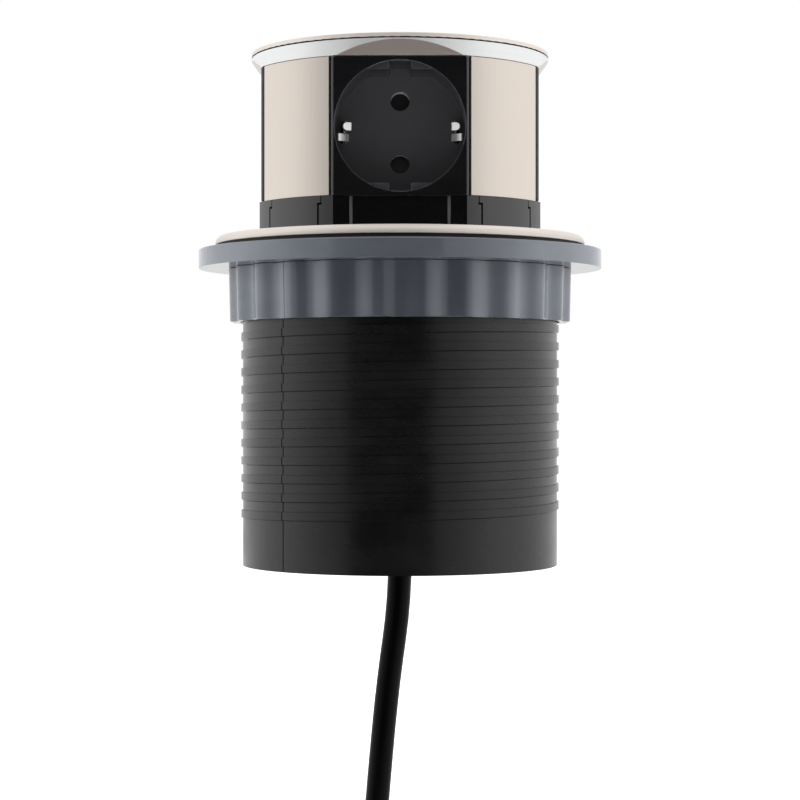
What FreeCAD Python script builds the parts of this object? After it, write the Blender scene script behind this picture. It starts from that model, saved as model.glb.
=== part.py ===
"""A recessed power tower for a worktop, drawn out of its barrel to the height of use.

Four sockets sit around a turret that slides in a threaded barrel. The barrel hangs in a round
hole by its bezel, and a ring nut presses a loose flange up against the worktop from below.
All sizes are in millimetres. The seat plane, where the gasket meets the worktop, is z = 0,
the turret's axis is Z, and socket 1 faces -Y.
"""

import FreeCAD
import Part
import Sketcher

import math
import os
import re

os.makedirs("parts", exist_ok=True)

Vector = FreeCAD.Vector
UP = Vector(0, 0, 1)
QUARTERS = range(4)

doc = FreeCAD.newDocument("RecessedPowerTower")
sheet = doc.addObject("Spreadsheet::Sheet", "Sizes")

# Driving sizes in millimetres, apart from counts and the angles that say degrees
SIZES = {
    # Heights, stacked upward from the seat plane
    "gasket_height": 1.4,  # gasket between bezel and worktop
    "bezel_height": 2.7,  # bezel's side
    "bezel_sheet": 1.1,  # bezel's steel, top and side
    "collar_show": 9.4,  # collar that shows between bezel and sockets
    "socket_height": 41.4,  # socket face and steel panels
    "skirt_height": 4.6,  # cap's plated skirt
    "facet_height": 4.3,  # slanted facet of the skirt above each socket
    "shadow_gap": 0.35,  # groove between skirt and top plate
    "plate_thick": 1.25,  # steel top plate
    "plate_round": 0.5,  # top plate's upper edge
    "seam_gap": 0.15,  # seam round each panel and socket face
    # The turret seen from above
    "cap_radius": 46.5,  # top plate and skirt
    "panel_inset": 0.1,  # steel panels inside the cap's edge
    "panel_wall": 1.2,  # steel panel
    "panel_gap": 0.665,  # socket face to the steel panel beside it
    "face_inset": 5.1,  # cap's edge to a socket face
    "face_margin": 0.9,  # recess to the socket face's upright edges
    "face_plate": 2.6,  # socket face's front plate
    "face_chamfer": 0.7,  # socket face's upright edges
    "face_bevel": 0.3,  # socket face's level edges
    "groove_inset": 0.6,  # groove's step in from the top plate's edge
    "skirt_wall": 3.5,  # skirt's wall in its round stretches
    "skirt_ceiling": 1.5,  # skirt's top wall
    # Socket to the pattern with 4.8 mm pins, 19 mm apart
    "recess_radius": 19.5,  # socket recess
    "recess_depth": 17.5,  # socket recess
    "cup_wall": 0.8,  # wall round the recess
    "cup_floor": 2.0,  # floor behind the recess
    "rim_depth": 1.0,  # depth of the guide lugs' faces below the socket face
    "lug_level": 16.9,  # socket centre to the guide lugs
    "lug_gap": 3.3,  # socket centre to a guide lug's side
    "lug_round": 0.6,  # guide lugs' corners
    "pin_spacing": 19.0,  # between pin centres
    "pin_hole_radius": 2.9,  # pin hole
    "pivot_radius": 1.5,  # shutter's pivot
    "clip_width": 6.2,  # earth clip's strip
    "clip_thick": 0.5,  # earth clip's strip
    "clip_reach": 17.2,  # socket centre to the clip's straight arm
    "clip_bow": 15.3,  # socket centre to the bow of the clip
    "clip_slit": 0.9,  # slit between the clip's two tines
    "clip_slot": 1.6,  # cup floor's slot for a clip arm
    "shutter_thick": 1.5,  # shutter
    "shutter_reach": 12.9,  # shutter's wings from the pivot
    "shutter_wing": 3.6,  # half width of a wing
    "shutter_play": 0.2,  # shutter to the cup's floor and to its pivot
    "sleeve_radius": 3.4,  # contact sleeve's outside
    "sleeve_bore": 2.45,  # contact sleeve's inside
    "sleeve_length": 13.0,  # contact sleeve
    "bus_thick": 0.8,  # bus plates
    "bus_radius": 16.8,  # line and neutral bus plates
    "bus_hole": 4.5,  # hole in the bus plates
    "inner_play": 0.1,  # between fitted pieces inside the turret
    # Turret's chassis, collar and floor
    "core_play": 0.2,  # sockets' cups to the core's square shaft
    "core_top": 2.9,  # core's spigot inside the skirt
    "core_foot": 3.5,  # core's spigot inside the collar
    "collar_step": 0.7,  # collar's round stretches beyond the cap
    "collar_wall": 2.5,  # collar's wall
    "flat_inset": 0.4,  # collar's side flats behind the socket face
    "niche_depth": 1.6,  # niche between the side flats
    "flat_step": 0.6,  # collar flat's end inside the socket face's
    "niche_half_width": 14.1,  # half of the niche at its back
    "niche_step": 0.85,  # width of the niche's slanted side
    "flat_depth": 30.0,  # collar flats below the seat plane
    "skirt_depth": 36.0,  # collar's lower end below the seat plane
    "catch_height": 3.0,  # catch rim at the collar's lower end
    "guide_play": 0.3,  # collar in the barrel's guide, and catch rim below it
    "tongue_half_angle": 12.75,  # half of the spring tongue, in degrees
    "tongue_lean": 1.25,  # how far a tongue lies past its corner, in degrees
    "tongue_slot": 0.6,  # slot beside a spring tongue
    "tongue_root": 12.0,  # slots' lower end below the seat plane
    "tongue_jog": 1.0,  # sideways jog at the top of a slot
    "jog_height": 2.0,  # height of the jog
    "floor_thick": 2.0,  # turret's floor
    "web_thick": 2.0,  # collar's web under the floor
    "web_width": 16.2,  # collar's web, with its wall
    "screw_inset": 11.2,  # turret's screws inside the collar's outside
    "screw_radius": 1.2,  # turret's screws
    "screw_head": 2.6,  # turret's screw heads
    "screw_length": 16.0,  # turret's screws
    # Barrel and what holds it in the worktop
    "barrel_wall": 2.25,  # barrel's wall at the thread's crests
    "thread_depth": 0.55,  # plain band below the thread's crests
    "band_height": 14.5,  # plain band
    "barrel_depth": 98.4,  # barrel below the seat plane
    "rim_reach": 7.05,  # barrel's flange under the bezel, beyond the barrel
    "stop_step": 0.7,  # the stop for the catch rim
    "stop_play": 0.2,  # between the catch rim and its stop
    "bezel_round": 1.0,  # bezel's rounded edge
    "gasket_inset": 0.7,  # gasket inside the bezel's edge
    "flange_reach": 5.1,  # pressure flange beyond the bezel
    "flange_height": 5.9,  # pressure flange
    "flange_edge": 0.3,  # pressure flange's upper edge
    "nut_wall": 3.95,  # barrel's crests to the ring nut's lobes at the top
    "nut_taper": 0.4,  # how far the lobes draw in at the bottom
    "nut_height": 16.6,  # ring nut
    "nut_lobes": 24,  # lobes round the ring nut
    "flute_radius": 13.0,  # ring nut's flutes
    "flute_depth": 1.2,  # ring nut's flutes
    "thread_play": 0.3,  # flange and nut to the barrel
    "contact_play": 0.1,  # between gasket, flange and nut
    # Base, gland and clamps
    "base_thick": 2.6,  # base cover
    "base_inset": 0.4,  # base cover's face above the barrel's end
    "base_play": 0.15,  # base cover in the bore
    "ledge_height": 3.0,  # barrel's ledge above the base cover
    "ledge_width": 3.9,  # barrel's ledge
    "base_screw_inset": 2.2,  # base screws inside the barrel's bore
    "base_screw_radius": 0.9,  # base screws
    "base_screw_head": 1.6,  # base screws' heads
    "head_height": 1.2,  # base screws' heads
    "gland_radius": 7.5,  # gland's rims
    "gland_neck": 5.8,  # gland's neck
    "gland_rim": 2.0,  # height of each gland rim
    "clamp_radius": 8.5,  # cord clamps
    "clamp_height": 5.0,  # cord clamps
    "clamp_slit": 1.4,  # slit through a cord clamp
    "cord_play": 0.05,  # cord in its gland and clamps
    "lead_play": 0.3,  # inner lead in the turret's floor and clamp
    "lead_radius": 18.0,  # inner lead's loop
    "lead_turns": 1,  # turns in the inner lead's loop
    # Cord and plug
    "cord_diameter": 7.5,  # mains cord
    "rest_level": 225.0,  # coil's and plug's underside below the seat plane
    "coil_radius": 48.0,  # coil's outermost turn
    "coil_gap": 0.8,  # between the coil's turns
    "coil_dip": 1.8,  # how far the climb between the layers swings inward
    "coil_turns": 5,  # whole turns in the coil
    "plug_radius": 18.5,  # plug's face
    "plug_disc": 17.0,  # plug's face, along its axis
    "plug_grip": 20.0,  # plug's grip
    "plug_grip_radius": 11.0,  # plug's grip at its narrow end
    "plug_sleeve": 24.0,  # plug's bend relief
    "plug_sleeve_radius": 6.4,  # plug's bend relief at the grip
    "plug_tip_radius": 5.2,  # plug's bend relief at the cord
    "plug_pin_radius": 2.4,  # plug's pins
    "plug_pin_length": 19.0,  # plug's pins
    "plug_tilt": 10.0,  # degrees that the plug's pins point upward as it lies
    "plug_strip_width": 5.0,  # plug's earth strips
    "plug_strip_inset": 1.0,  # how far the plug's earth strips lie below its side
}

for row, (alias, number) in enumerate(SIZES.items(), start=1):
    sheet.set(f"A{row}", alias.replace("_", " "))
    sheet.set(f"B{row}", str(number))
    sheet.setAlias(f"B{row}", alias)

# Radii and distances from the axis that follow from the sizes above, from the cap outward
FITTED = {
    "face_half_width": "recess_radius + face_margin",
    "face_offset": "cap_radius - face_inset",
    "panel_radius": "cap_radius - panel_inset",
    "panel_span": "90 deg - 2 * asin((face_half_width + panel_gap) / panel_radius)",
    "core_recess": "face_offset - recess_depth - cup_floor - core_play",
    "collar_radius": "cap_radius + collar_step",
    "collar_flat": "face_offset - flat_inset",
    "collar_niche": "collar_flat - niche_depth",
    "flat_half_width": "face_half_width - flat_step",
    "screw_circle": "collar_radius - screw_inset",
    "web_bore": "collar_radius - web_width",
    "guide_bore": "collar_radius + guide_play",
    "lower_bore": "guide_bore + stop_step",
    "catch_radius": "lower_bore - guide_play",
    "ledge_bore": "lower_bore - ledge_width",
    "base_screw_circle": "lower_bore - base_screw_inset",
    "barrel_radius": "guide_bore + barrel_wall",
    "band_radius": "barrel_radius - thread_depth",
    "rim_radius": "barrel_radius + rim_reach",
    "bezel_radius": "rim_radius + bezel_sheet",
    "gasket_radius": "bezel_radius - gasket_inset",
    "flange_radius": "bezel_radius + flange_reach",
    "nut_radius": "barrel_radius + nut_wall",
    "nut_foot_radius": "nut_radius - nut_taper",
}

# Levels and lines that several pieces share, as expressions of the sizes above
BEZEL_TOP = "(gasket_height + bezel_height)"
RIM_TOP = f"({BEZEL_TOP} - bezel_sheet)"
COLLAR_TOP = f"({BEZEL_TOP} + collar_show)"
SOCKET_TOP = f"({COLLAR_TOP} + socket_height)"
SOCKET_MIDDLE = f"({COLLAR_TOP} + socket_height / 2)"
SKIRT_TOP = f"({SOCKET_TOP} + skirt_height)"
PANEL_BACK = "(panel_radius - panel_wall)"
PLATE_BACK = "(face_offset - face_plate)"
CUP_RADIUS = "(recess_radius + cup_wall)"
CUP_BACK = "(face_offset - recess_depth - cup_floor)"
SHUTTER_FRONT = "(face_offset - recess_depth - cup_floor - shutter_play)"
SHUTTER_BACK = f"({SHUTTER_FRONT} - shutter_thick)"
CLIP_FRONT = f"({SHUTTER_BACK} - 2 * shutter_play)"
CLIP_BACK = f"({CLIP_FRONT} - clip_thick)"
SLEEVE_FRONT = f"({CLIP_BACK} - 4 * inner_play)"
CORE_FOOT = f"({COLLAR_TOP} - core_foot)"
FLOOR_LOW = f"({CORE_FOOT} - floor_thick)"
WEB_LOW = f"({FLOOR_LOW} - web_thick)"
COLLAR_BORE = "(collar_radius - collar_wall)"
COLLAR_SQUARE = "(collar_niche - collar_wall)"
STOP_LEVEL = "(-skirt_depth + catch_height + stop_play)"
BASE_LOW = "(-barrel_depth + base_inset)"
BASE_TOP = f"({BASE_LOW} + base_thick)"
FLANGE_LOW = "(-flange_height)"
NUT_TOP = f"({FLANGE_LOW} - contact_play)"
CORD_RADIUS = "(cord_diameter / 2)"


def same(one, other=0.0):
    """Whether two lengths agree to a micrometre."""
    return math.isclose(one, other, abs_tol=0.001)


def bound(text):
    """Turn a formula of named sizes into an expression that reads them from the sheet."""

    def read(word):
        name = word.group()
        if name in SIZES:
            return f"Sizes.{name}"
        return f"({bound(FITTED[name])})" if name in FITTED else name

    return re.sub(r"[a-z_]+", read, text)


def turn(degrees, axis=UP):
    """A placement that turns about an axis through the origin."""
    return FreeCAD.Placement(Vector(0, 0, 0), FreeCAD.Rotation(axis, degrees))


# PartDesign pieces


def new_body(label, degrees=0):
    """An empty body, turned about the turret's axis."""
    body = doc.addObject("PartDesign::Body", label)
    body.Placement = turn(degrees)
    return body


def origin_feature(body, role):
    """One of the body's own base planes or axes."""
    return next(feature for feature in body.Origin.OriginFeatures if feature.Role == role)


def new_sketch(body, name, role, offset="0"):
    """A sketch on one of the body's planes, moved along the plane's normal."""
    sketch = body.newObject("Sketcher::SketchObject", name)
    sketch.AttachmentSupport = (origin_feature(body, role), "")
    sketch.MapMode = "FlatFace"
    sketch.setExpression("AttachmentOffset.Base.z", bound(offset))
    return sketch


def place(sketch, item, point, across, along):
    """Hold one point of a sketch at two expressions from the sketch's origin."""
    for kind, text in (("DistanceX", across), ("DistanceY", along)):
        number = sketch.addConstraint(Sketcher.Constraint(kind, -1, 1, item, point, 1.0))
        sketch.setExpression(f"Constraints[{number}]", bound(text))


def polygon(sketch, corners):
    """A closed outline of straight edges through corners given as pairs of expressions."""
    count = len(corners)
    first = sketch.GeometryCount
    start = [
        Vector(10 * math.cos(2 * math.pi * i / count), 10 * math.sin(2 * math.pi * i / count), 0)
        for i in range(count)
    ]
    for i in range(count):
        sketch.addGeometry(Part.LineSegment(start[i], start[(i + 1) % count]), False)
    for i in range(count):
        following = first + (i + 1) % count
        sketch.addConstraint(Sketcher.Constraint("Coincident", first + i, 2, following, 1))
    for i, (across, along) in enumerate(corners):
        place(sketch, first + i, 1, across, along)
    return sketch


def rectangle(sketch, left, right, low, high):
    """A closed rectangle between four expressions."""
    return polygon(sketch, [(left, low), (right, low), (right, high), (left, high)])


def circle(sketch, radius, across="0", along="0"):
    """A full circle with its radius and centre given as expressions."""
    item = sketch.addGeometry(Part.Circle(Vector(0, 0, 0), UP, 5), False)
    number = sketch.addConstraint(Sketcher.Constraint("Radius", item, 5.0))
    sketch.setExpression(f"Constraints[{number}]", bound(radius))
    place(sketch, item, 3, across, along)
    return sketch


def clipped_circle(sketch, radius, level, along):
    """A circle cut off above and below its centre, for two aliases and an expression."""
    big = SIZES[radius]
    flat = SIZES[level]
    side = math.sqrt(big * big - flat * flat)
    lean = math.atan2(flat, side)
    middle = SIZES["socket_height"]
    centre = Vector(0, middle, 0)
    right = sketch.addGeometry(Part.ArcOfCircle(Part.Circle(centre, UP, big), -lean, lean), False)
    top = sketch.addGeometry(
        Part.LineSegment(Vector(side, middle + flat, 0), Vector(-side, middle + flat, 0)), False
    )
    left = sketch.addGeometry(
        Part.ArcOfCircle(Part.Circle(centre, UP, big), math.pi - lean, math.pi + lean), False
    )
    low = sketch.addGeometry(
        Part.LineSegment(Vector(-side, middle - flat, 0), Vector(side, middle - flat, 0)), False
    )
    for one, other in ((right, top), (top, left), (left, low), (low, right)):
        sketch.addConstraint(Sketcher.Constraint("Coincident", one, 2, other, 1))
    sketch.addConstraint(Sketcher.Constraint("Coincident", left, 3, right, 3))
    sketch.addConstraint(Sketcher.Constraint("Equal", left, right))
    place(sketch, right, 3, "0", along)
    sketch.addConstraint(Sketcher.Constraint("Horizontal", top))
    sketch.addConstraint(Sketcher.Constraint("Horizontal", low))
    number = sketch.addConstraint(Sketcher.Constraint("Radius", right, big))
    sketch.setExpression(f"Constraints[{number}]", bound(radius))
    for line, sign in ((top, ""), (low, "-")):
        number = sketch.addConstraint(Sketcher.Constraint("DistanceY", right, 3, line, 1, flat))
        sketch.setExpression(f"Constraints[{number}]", bound(f"{sign}{level}"))
    return sketch


def feature(body, kind, name, sketch, length=None, both_ways=False):
    """A pad or pocket of a sketch."""
    made = body.newObject(f"PartDesign::{kind}", name)
    made.Profile = sketch
    made.setExpression("Length", bound(length))
    if both_ways:
        made.Midplane = True
    return made


def revolved(body, name, corners, degrees=None):
    """A revolution of an outline, given as radii and heights, about the body's Z axis."""
    sketch = polygon(new_sketch(body, f"{name}_outline", "XZ_Plane"), corners)
    made = body.newObject("PartDesign::Revolution", name)
    made.Profile = sketch
    made.ReferenceAxis = (sketch, ["V_Axis"])
    if degrees is None:
        made.Angle = 360
    else:
        made.setExpression("Angle", bound(degrees))
        made.Midplane = True
    return made


def around(body, name, feature_to_repeat, count):
    """Repeat a feature round the body's Z axis."""
    pattern = body.newObject("PartDesign::PolarPattern", name)
    pattern.Originals = [feature_to_repeat]
    pattern.Axis = (origin_feature(body, "Z_Axis"), [""])
    pattern.Angle = 360
    pattern.setExpression("Occurrences", bound(count))
    body.Tip = pattern
    return pattern


def dress(body, kind, name, prop, text, chosen):
    """Fillet or chamfer the edges of the body that a test chooses."""
    doc.recompute()
    base = body.Tip
    edges = [f"Edge{i + 1}" for i, edge in enumerate(base.Shape.Edges) if chosen(edge)]
    if not edges:
        raise RuntimeError(f"{body.Name}: no edge for {name}")
    made = body.newObject(f"PartDesign::{kind}", name)
    made.Base = (base, edges)
    made.setExpression(prop, bound(text))
    return made


def finish_rim(body, kind, name, size, pick=max):
    """Fillet or chamfer the highest of the widest circular edges, or the lowest with pick=min."""
    doc.recompute()
    rims = [edge.Curve for edge in body.Tip.Shape.Edges if isinstance(edge.Curve, Part.Circle)]
    widest = max(rim.Radius for rim in rims)
    level = pick(rim.Center.z for rim in rims if same(rim.Radius, widest))

    def on_rim(edge):
        curve = edge.Curve
        return isinstance(curve, Part.Circle) and same(curve.Radius, widest) and same(curve.Center.z, level)

    return dress(body, kind, name, "Radius" if kind == "Fillet" else "Size", size, on_rim)


# Pieces from Part primitives


def cylinder(name, radius, low, high, across="0", away="0"):
    """An upright cylinder between two levels."""
    made = doc.addObject("Part::Cylinder", name)
    made.setExpression("Radius", bound(radius))
    made.setExpression("Height", bound(f"{high} - ({low})"))
    made.setExpression(".Placement.Base.x", bound(across))
    made.setExpression(".Placement.Base.y", bound(away))
    made.setExpression(".Placement.Base.z", bound(low))
    return made


def spoke(name, radius, inner, outer, level):
    """A cylinder that lies along -Y, between two distances from the axis."""
    made = doc.addObject("Part::Cylinder", name)
    made.Placement = turn(90, Vector(1, 0, 0))
    made.setExpression("Radius", bound(radius))
    made.setExpression("Height", bound(f"{outer} - ({inner})"))
    made.setExpression(".Placement.Base.y", bound(f"-({inner})"))
    made.setExpression(".Placement.Base.z", bound(level))
    return made


def block(name, left, right, front, back, low, high):
    """A box between six expressions."""
    made = doc.addObject("Part::Box", name)
    for prop, start, end in (
        ("Length", left, right),
        ("Width", front, back),
        ("Height", low, high),
    ):
        made.setExpression(prop, bound(f"{end} - ({start})"))
    for axis, start in (("x", left), ("y", front), ("z", low)):
        made.setExpression(f".Placement.Base.{axis}", bound(start))
    return made


def turned(name, item, degrees):
    """An item turned about the turret's axis."""
    made = doc.addObject("Part::Compound", name)
    made.Links = [item]
    made.Placement = turn(degrees)
    return made


def cut(name, base, tools):
    """One piece less several tools that may overlap each other."""
    made = doc.addObject("Part::Cut", name)
    made.Base = base
    made.Tool = tools[0] if len(tools) == 1 else join(f"{name}_tools", tools)
    return made


def join(name, items):
    """Several items as one solid, or as many solids as lie apart."""
    made = doc.addObject("Part::MultiFuse", name)
    made.Shapes = items
    return made


def squared(name, radius, half, low, high):
    """A disc whose four sides are cut flat, as the turret's pieces are."""
    made = doc.addObject("Part::Common", name)
    made.Base = cylinder(f"{name}_round", radius, low, high)
    made.Tool = block(f"{name}_square", f"-({half})", half, f"-({half})", half, low, high)
    return made


# Barrel and its fittings


def housing_barrel():
    body = new_body("housing_barrel")
    revolved(
        body,
        "wall",
        [
            ("guide_bore", STOP_LEVEL),
            ("guide_bore", RIM_TOP),
            ("rim_radius", RIM_TOP),
            ("rim_radius", "gasket_height"),
            ("barrel_radius", "gasket_height"),
            ("barrel_radius", "-barrel_depth + band_height"),
            ("band_radius", "-barrel_depth + band_height - (barrel_radius - band_radius)"),
            ("band_radius", "-barrel_depth"),
            ("lower_bore", "-barrel_depth"),
            ("lower_bore", BASE_TOP),
            ("ledge_bore", BASE_TOP),
            ("ledge_bore", f"{BASE_TOP} + ledge_height"),
            ("lower_bore", f"{BASE_TOP} + ledge_height"),
            ("lower_bore", STOP_LEVEL),
        ],
    )
    holes = circle(
        new_sketch(body, "screw_hole", "XY_Plane", BASE_TOP),
        "base_screw_radius + cord_play",
        "base_screw_circle",
    )
    hole = feature(body, "Pocket", "hole", holes, "ledge_height")
    hole.Reversed = True
    around(body, "holes", hole, "4")
    return body


def housing_base():
    body = new_body("housing_base")
    disc = circle(new_sketch(body, "disc_outline", "XY_Plane", BASE_LOW), "lower_bore - base_play")
    feature(body, "Pad", "disc", disc, "base_thick")
    opening = circle(new_sketch(body, "gland_hole", "XY_Plane", BASE_TOP), "gland_neck + cord_play")
    feature(body, "Pocket", "opening", opening, "base_thick")
    hole = circle(
        new_sketch(body, "screw_hole", "XY_Plane", BASE_TOP),
        "base_screw_radius + cord_play",
        "base_screw_circle",
    )
    shank = feature(body, "Pocket", "shank", hole, "base_thick")
    around(body, "shanks", shank, "4")
    sink = circle(
        new_sketch(body, "sink_outline", "XY_Plane", BASE_LOW),
        "base_screw_head + inner_play",
        "base_screw_circle",
    )
    pocket = feature(body, "Pocket", "sink", sink, "head_height")
    pocket.Reversed = True
    around(body, "sinks", pocket, "4")
    return body


def base_screws():
    screws = []
    for quarter in QUARTERS:
        head = cylinder(
            f"base_head_{quarter}",
            "base_screw_head",
            BASE_LOW,
            f"{BASE_LOW} + head_height",
            "base_screw_circle",
        )
        shank = cylinder(
            f"base_shank_{quarter}",
            "base_screw_radius",
            BASE_LOW,
            f"{BASE_TOP} + ledge_height",
            "base_screw_circle",
        )
        screw = join(f"base_screw_{quarter}", [head, shank])
        screws.append(turned(f"base_screw_turned_{quarter}", screw, 90 * quarter))
    return group("base_screws", screws)


def group(label, items):
    """Separate solids that share one node."""
    made = doc.addObject("Part::Compound", label)
    made.Links = items
    return made


def cord_gland():
    body = new_body("cord_gland")
    revolved(
        body,
        "grommet",
        [
            (f"{CORD_RADIUS} + cord_play", f"{BASE_LOW} - gland_rim"),
            ("gland_radius", f"{BASE_LOW} - gland_rim"),
            ("gland_radius", BASE_LOW),
            ("gland_neck", BASE_LOW),
            ("gland_neck", BASE_TOP),
            ("gland_radius", BASE_TOP),
            ("gland_radius", f"{BASE_TOP} + gland_rim"),
            (f"{CORD_RADIUS} + cord_play", f"{BASE_TOP} + gland_rim"),
        ],
    )
    finish_rim(body, "Chamfer", "rim_edge", "gland_rim / 3", min)
    return body


def split_clamp(label, low, play):
    """A split collar round the cord, with its slit towards -Y."""
    ring = cylinder(f"{label}_ring", "clamp_radius", low, f"{low} + clamp_height")
    bore = cylinder(f"{label}_bore", f"{CORD_RADIUS} + {play}", low, f"{low} + clamp_height")
    slit = block(
        f"{label}_slit",
        "-clamp_slit / 2",
        "clamp_slit / 2",
        "-clamp_radius",
        "0",
        low,
        f"{low} + clamp_height",
    )
    return cut(label, ring, [bore, slit])


def bezel_ring():
    body = new_body("bezel_ring")
    revolved(
        body,
        "cover",
        [
            ("guide_bore", RIM_TOP),
            ("rim_radius + seam_gap", RIM_TOP),
            ("rim_radius + seam_gap", "gasket_height"),
            ("bezel_radius", "gasket_height"),
            ("bezel_radius", BEZEL_TOP),
            ("guide_bore", BEZEL_TOP),
        ],
    )
    finish_rim(body, "Fillet", "edge_round", "bezel_round")
    return body


def seal_gasket():
    body = new_body("seal_gasket")
    revolved(
        body,
        "ring",
        [
            ("barrel_radius + thread_play", "0"),
            ("gasket_radius", "0"),
            ("gasket_radius", "gasket_height"),
            ("barrel_radius + thread_play", "gasket_height"),
        ],
    )
    return body


def pressure_flange():
    body = new_body("pressure_flange")
    revolved(
        body,
        "ring",
        [
            ("barrel_radius + thread_play", FLANGE_LOW),
            ("flange_radius", FLANGE_LOW),
            ("flange_radius", "-contact_play"),
            ("barrel_radius + thread_play", "-contact_play"),
        ],
    )
    finish_rim(body, "Chamfer", "top_edge", "flange_edge")
    return body


def ring_nut():
    """The nut's grip is a ring of lobes, which its flutes leave standing."""
    body = new_body("ring_nut")
    foot = f"{NUT_TOP} - nut_height"
    revolved(
        body,
        "ring",
        [
            ("barrel_radius + thread_play", foot),
            ("nut_foot_radius", foot),
            ("nut_radius", NUT_TOP),
            ("barrel_radius + thread_play", NUT_TOP),
        ],
    )
    flute = circle(
        new_sketch(body, "flute_outline", "XY_Plane", NUT_TOP),
        "flute_radius",
        "nut_radius + flute_radius - flute_depth",
    )
    pocket = feature(body, "Pocket", "flute", flute, "nut_height")
    around(body, "flutes", pocket, "nut_lobes")
    return body


# Turret


def turret_core():
    """A square shaft with a round pocket in each side for a socket cup."""
    foot = squared(
        "core_foot_part",
        f"{COLLAR_BORE} - inner_play",
        f"{COLLAR_SQUARE} - inner_play",
        CORE_FOOT,
        COLLAR_TOP,
    )
    trunk = squared("core_trunk", PANEL_BACK, PLATE_BACK, COLLAR_TOP, SOCKET_TOP)
    head = squared(
        "core_head",
        "cap_radius - skirt_wall - inner_play",
        f"{PLATE_BACK} - inner_play",
        SOCKET_TOP,
        f"{SOCKET_TOP} + core_top",
    )
    solid = join("core_solid", [foot, trunk, head])
    shaft = block(
        "core_shaft",
        "-core_recess",
        "core_recess",
        "-core_recess",
        "core_recess",
        CORE_FOOT,
        f"{SOCKET_TOP} + core_top",
    )
    tools = [shaft]
    for quarter in QUARTERS:
        pocket = spoke(
            f"core_pocket_{quarter}",
            f"{CUP_RADIUS} + inner_play",
            "0",
            "panel_radius",
            SOCKET_MIDDLE,
        )
        tools.append(turned(f"core_pocket_turned_{quarter}", pocket, 90 * quarter))
        hole = cylinder(
            f"core_hole_{quarter}",
            "screw_radius + cord_play",
            CORE_FOOT,
            f"{WEB_LOW} + screw_length + 1",
            "screw_circle",
        )
        tools.append(turned(f"core_hole_turned_{quarter}", hole, 45 + 90 * quarter))
    return cut("turret_core", solid, tools)


def niche_tool(number):
    """What is cut from the collar under one socket: two side flats and a niche between."""
    depth = "collar_flat - collar_niche"
    body = new_body(f"niche_tool_{number}", 90 * number)
    outline = new_sketch(body, "niche_outline", "XY_Plane", "-flat_depth")
    corners = [
        ("-flat_half_width", "-cap_radius - catch_height"),
        ("flat_half_width", "-cap_radius - catch_height"),
        ("flat_half_width", "-collar_flat"),
        ("niche_half_width + niche_step", "-collar_flat"),
        ("niche_half_width", f"-collar_flat + {depth}"),
        ("-niche_half_width", f"-collar_flat + {depth}"),
        ("-niche_half_width - niche_step", "-collar_flat"),
        ("-flat_half_width", "-collar_flat"),
    ]
    polygon(outline, corners)
    feature(body, "Pad", "niche", outline, f"flat_depth + {COLLAR_TOP}")
    return body


def turret_collar():
    """The slotted collar that the turret slides on, with two spring slots per corner."""
    stem = cylinder("collar_stem", "collar_radius", "-skirt_depth", COLLAR_TOP)
    rim = cylinder("collar_rim", "catch_radius", "-skirt_depth", "-skirt_depth + catch_height")
    solid = join("collar_solid", [stem, rim])
    tools = [
        squared("collar_upper_hollow", COLLAR_BORE, COLLAR_SQUARE, FLOOR_LOW, COLLAR_TOP),
        squared("collar_lower_hollow", COLLAR_BORE, COLLAR_SQUARE, "-skirt_depth", WEB_LOW),
        cylinder("collar_web_hole", "web_bore", WEB_LOW, FLOOR_LOW),
    ]
    for quarter in QUARTERS:
        way = 1 if quarter % 2 == 0 else -1
        tools.append(niche_tool(quarter))
        hole = cylinder(
            f"web_hole_{quarter}", "screw_radius + cord_play", WEB_LOW, FLOOR_LOW, "screw_circle"
        )
        tools.append(turned(f"web_hole_turned_{quarter}", hole, 45 + 90 * quarter))
        for side in (-1, 1):
            name = f"slot_{quarter}_{'left' if side < 0 else 'right'}"
            slot = block(
                name,
                f"{COLLAR_BORE} - collar_wall",
                "catch_radius",
                "-tongue_slot / 2",
                "tongue_slot / 2",
                "-tongue_root",
                f"{COLLAR_TOP} - jog_height",
            )
            start = "-tongue_slot / 2" if way > 0 else "-tongue_slot / 2 - tongue_jog"
            jog = block(
                f"{name}_jog",
                f"{COLLAR_BORE} - collar_wall",
                "catch_radius",
                start,
                f"{start} + tongue_slot + tongue_jog",
                f"{COLLAR_TOP} - jog_height - tongue_slot",
                f"{COLLAR_TOP} - jog_height",
            )
            top_start = f"-tongue_slot / 4 + {way} * tongue_jog"
            top = block(
                f"{name}_top",
                f"{COLLAR_BORE} - collar_wall",
                "catch_radius",
                top_start,
                f"{top_start} + tongue_slot / 2",
                f"{COLLAR_TOP} - jog_height",
                COLLAR_TOP,
            )
            whole = join(f"{name}_whole", [slot, jog, top])
            angle = 45 + 90 * quarter + way * SIZES["tongue_lean"] + side * SIZES["tongue_half_angle"]
            tools.append(turned(f"{name}_turned", whole, angle))
    return cut("turret_collar", solid, tools)


def turret_floor():
    plate = squared(
        "floor_plate",
        f"{COLLAR_BORE} - inner_play",
        f"{COLLAR_SQUARE} - inner_play",
        FLOOR_LOW,
        CORE_FOOT,
    )
    tools = [cylinder("floor_bore", f"{CORD_RADIUS} + lead_play", FLOOR_LOW, CORE_FOOT)]
    for quarter in QUARTERS:
        hole = cylinder(
            f"floor_hole_{quarter}", "screw_radius + cord_play", FLOOR_LOW, CORE_FOOT, "screw_circle"
        )
        tools.append(turned(f"floor_hole_turned_{quarter}", hole, 45 + 90 * quarter))
    return cut("turret_floor", plate, tools)


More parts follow.
